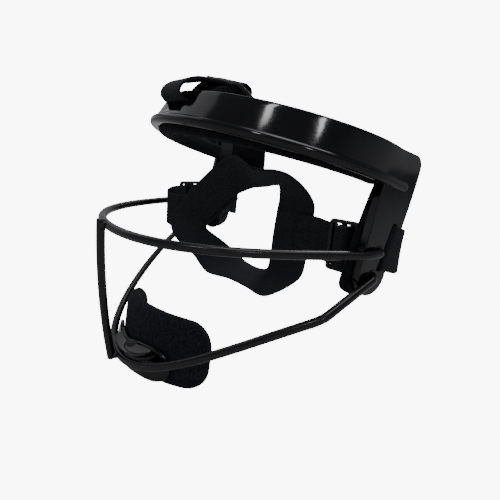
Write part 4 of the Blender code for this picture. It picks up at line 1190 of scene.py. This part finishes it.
satin = grained(
    finish_of("satin acetal", (0.005, 0.005, 0.006), 0.3, Specular_IOR_Level=0.45),
    low=(0.0035, 0.0036, 0.0044), high=(0.0065, 0.0067, 0.0078), cloud_scale=160.0, cloud_detail=5.0,
    roughness=(0.24, 0.38), grain_scale=1800.0, grain_depth=0.00003,
)


def slider_place(middle, along, out):
    """A slider's frame: local X along the webbing, local Z out of its face."""
    x = Vector(along).normalized()
    z = Vector(out)
    z = (z - x * z.dot(x)).normalized()
    y = z.cross(x)
    if y.z < -0.5:
        y = -y
    return Matrix.Translation(middle) @ Matrix((x, y, z)).transposed().to_4x4()


def three_bar_slider(word, place):
    """A plate with rounded corners and two windows, all its edges rounded over."""
    quarter_turn = Matrix.Rotation(math.pi / 2, 4, "Y")
    size = (SLIDER_THICKNESS, SLIDER_HEIGHT, SLIDER_LENGTH)
    plate = rounded_bar(size, SLIDER_CORNER, place @ quarter_turn, 6)
    body = shown(f"slider_{word}_moulding", plate, satin, 30.0)
    for side in (-1, 1):
        middle = place @ Matrix.Translation((side * (SLIDER_BAR + SLIDER_GAP) / 2, 0.0, 0.0))
        window_size = (3 * SLIDER_THICKNESS, SLIDER_WINDOW, SLIDER_GAP)
        window = rounded_bar(window_size, SLIDER_EDGE, middle @ quarter_turn)
        cut_away(body, shown("window", window, satin))
    rounding = body.modifiers.new("rounded edges", "BEVEL")
    rounding.width = SLIDER_EDGE
    rounding.segments = 3
    rounding.limit_method = "ANGLE"
    rounding.angle_limit = math.radians(60)
    settle(body)
    body.data.shade_smooth()
    body.data.set_sharp_from_angle(angle=math.radians(50))
    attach(body, "root")
    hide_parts(f"slider_{word}")


slider_places = {word: slider_place(*sizes) for word, sizes in SLIDERS.items()}
for word, place in slider_places.items():
    three_bar_slider(word, place)


# Side straps
# The same elastic. Each strap's end is cut round and stitched to the ring. It runs through its slider, out
# through the leg's slot, round the rear bar of the leg, and back to the slider's middle bar.

REAR_BAR = 0.0054
LEG_LOOPS = {1: 0.0076, -1: 0.0046}
LEG_LOOP_LEAN = math.radians(-10.0)
RING_ENDS = {
    # Side: start across, end across, up, layer
    1: (0.86, 1.08, 0.03, 1.0),
    -1: (-0.82, -1.12, -0.03, -1.0),
}
ROUND_END = 0.36
SIDE_PULLS = {1: (0.006, 0.003, 0.0005), -1: (0.013, 0.006, 0.010)}
QUARTER = math.pi / 2
HALF_BAR = SLIDER_BAR / 2
SLIDER_FACE = SLIDER_THICKNESS / 2
PAST_SLIDER = SLIDER_LENGTH / 2 + PAD_GAP


def in_slider(place, outline):
    """A run from (along, out) points in a slider's frame."""
    across = (place.to_3x3() @ Vector((0.0, 1.0, 0.0))).normalized() * WEB_WIDTH
    return [(place @ Vector((x, 0.0, z)), across) for x, z in outline]


def threaded(place):
    """Behind the first bar, over the middle one and the end sewn round it, and behind the last."""
    edge = SLIDER_LENGTH / 2 - SLIDER_BAR
    return in_slider(
        place,
        [(-PAST_SLIDER, -SLIDER_FACE - HUG)]
        + arc((-edge, -SLIDER_FACE), HUG, -QUARTER, 0.0, 6)
        + arc((-HALF_BAR, SLIDER_FACE), HUG + LAYER, 2 * QUARTER, QUARTER, 9)
        + arc((HALF_BAR, SLIDER_FACE), HUG + LAYER, QUARTER, 0.0, 9)
        + arc((edge, -SLIDER_FACE), HUG, 2 * QUARTER, 3 * QUARTER, 6)
        + [(PAST_SLIDER, -SLIDER_FACE - HUG)],
    )


def sewn_round(place):
    """The end: in below the last bar, and once round the middle one."""
    return in_slider(
        place,
        [(PAST_SLIDER, -SLIDER_FACE - HUG - LAYER)]
        + arc((HALF_BAR + HUG + LAYER, -SLIDER_FACE - HUG), LAYER, -QUARTER, -2 * QUARTER, 7)
        + arc((HALF_BAR, SLIDER_FACE), HUG, 0.0, QUARTER, 6)
        + arc((-HALF_BAR, SLIDER_FACE), HUG, QUARTER, 2 * QUARTER, 6)
        + arc((-HALF_BAR, -SLIDER_FACE), HUG, 2 * QUARTER, 3 * QUARTER, 6)
        + [(0.0, -SLIDER_FACE - HUG)],
    )


def joined(runs, pulls):
    """One path through all the runs, linked by curves that leave and meet them along their own lines."""
    path = list(runs[0])
    for run, pull in zip(runs[1:], pulls):
        leave = (path[-1][0] - path[-2][0]).normalized() * pull
        meet = (run[1][0] - run[0][0]).normalized() * pull
        steps = 18
        points = bezier(path[-1][0], path[-1][0] + leave, run[0][0] - meet, run[0][0], steps)
        width = path[-1][1].copy()
        for i in range(1, steps):
            path.append((points[i], width.lerp(run[0][1], i / steps)))
        path += run
    return path


def round_rear_bar(side):
    """Out through a leg's slot, round its rear bar with some slack behind, and in again along the leg."""
    place = slot_place(side)
    turn = place.to_3x3()
    half = LEG_THICKNESS / 2
    front = SLOT_WIDTH / 2
    rear = front + REAR_BAR
    loop = LEG_LOOPS[side]
    bends = [QUARTER * k / 12 for k in range(25)]
    outline = (
        [(-half - 0.8 * SLOT_WIDTH, -0.4 * SLOT_WIDTH), (-half, 0.1 * SLOT_WIDTH)]
        + arc((half, front), HUG, -QUARTER, 0.0, 6)
        + [((half + HUG) * math.cos(a), rear + loop * math.sin(a)) for a in bends]
        + [(-half - 1.5 * HUG, front + 0.45 * REAR_BAR), (-half - 3.4 * HUG, front + 0.05 * REAR_BAR)]
    )
    run = []
    for x, y in outline:
        slack = max(0.0, (y - rear) / max(LEG_LOOPS.values()))
        lean = (LEG_LOOP_LEAN - SLOT_LEAN) * slack
        width = turn @ Vector((0.0, math.sin(lean), math.cos(lean)))
        run.append((place @ Vector((x * side, y, 0.0)), width * WEB_WIDTH))
    return run


for side, word in ((1, "left"), (-1, "right")):
    place = slider_places[word]
    start, end, up, layer = RING_ENDS[side]
    sewn_end = []
    # The round end widens as a circle does over its first third
    for share in (0.0, 0.01, 0.03, 0.06, 0.10, 0.15, 0.21, 0.28, ROUND_END, 0.7, 1.0):
        wide = 0.5 + 0.5 * math.sqrt(1 - (1 - min(1.0, share / ROUND_END)) ** 2)
        across = (start + (end - start) * share) * RING_WIDTH / 2
        point = ring_place @ Vector((across, up * RING_HEIGHT / 2, layer * LAYER))
        sewn_end.append((point, Vector((0.0, 0.0, wide * WEB_WIDTH))))
    runs = [sewn_end, threaded(place), round_rear_bar(side), sewn_round(place)]
    box = ((3, -0.72), (9.6, -0.78), (9.6, 0.78), (3, 0.72), (3, -0.72))
    webbing(f"elastic_strap_{word}", joined(runs, SIDE_PULLS[side]), f"strap_{word}", ((box, 1), (box, -1)))


# Top strap
# Elastic again: stitched behind the ring, up through its slider, forward over the brow and down through the
# slot in the band, and back under itself to the slider.

BROW_LOOP_REACH = 0.0068
BROW_LOOP_RISE = 0.0158
BROW_LOOP = (
    # Inward as a share of the loop's reach, up as a share of its rise
    (0.23, 1.00),
    (-0.34, 0.79),
    (-0.81, 0.50),
    (-1.00, 0.20),
    (-0.84, -0.02),
    (-0.41, -0.08),
    (0.00, -0.06),
    (0.38, 0.00),
    (0.73, 0.28),
    (0.97, 0.61),
)
TOP_END_ACROSS = 0.03
TOP_END_UP = (0.90, 1.175, 1.45)
TOP_PULLS = (0.014, 0.004, 0.004)

top_across = ring_turn @ Vector((WEB_WIDTH, 0.0, 0.0))
top_sewn = [
    (ring_place @ Vector((TOP_END_ACROSS * RING_WIDTH / 2, up * RING_HEIGHT / 2, -LAYER)), top_across)
    for up in TOP_END_UP
]
slot = brow_slot_place()
loop_points = []
for inward, up in BROW_LOOP:
    loop_points.append(slot @ Vector((0.0, inward * BROW_LOOP_REACH, up * BROW_LOOP_RISE)))
over_brow = [(point, Vector((WEB_WIDTH, 0.0, 0.0))) for point in smooth(loop_points, 6)]
top_place = slider_places["top"]
top_path = joined([top_sewn, threaded(top_place), over_brow, sewn_round(top_place)], TOP_PULLS)
webbing("elastic_strap_top", top_path, "strap_top")
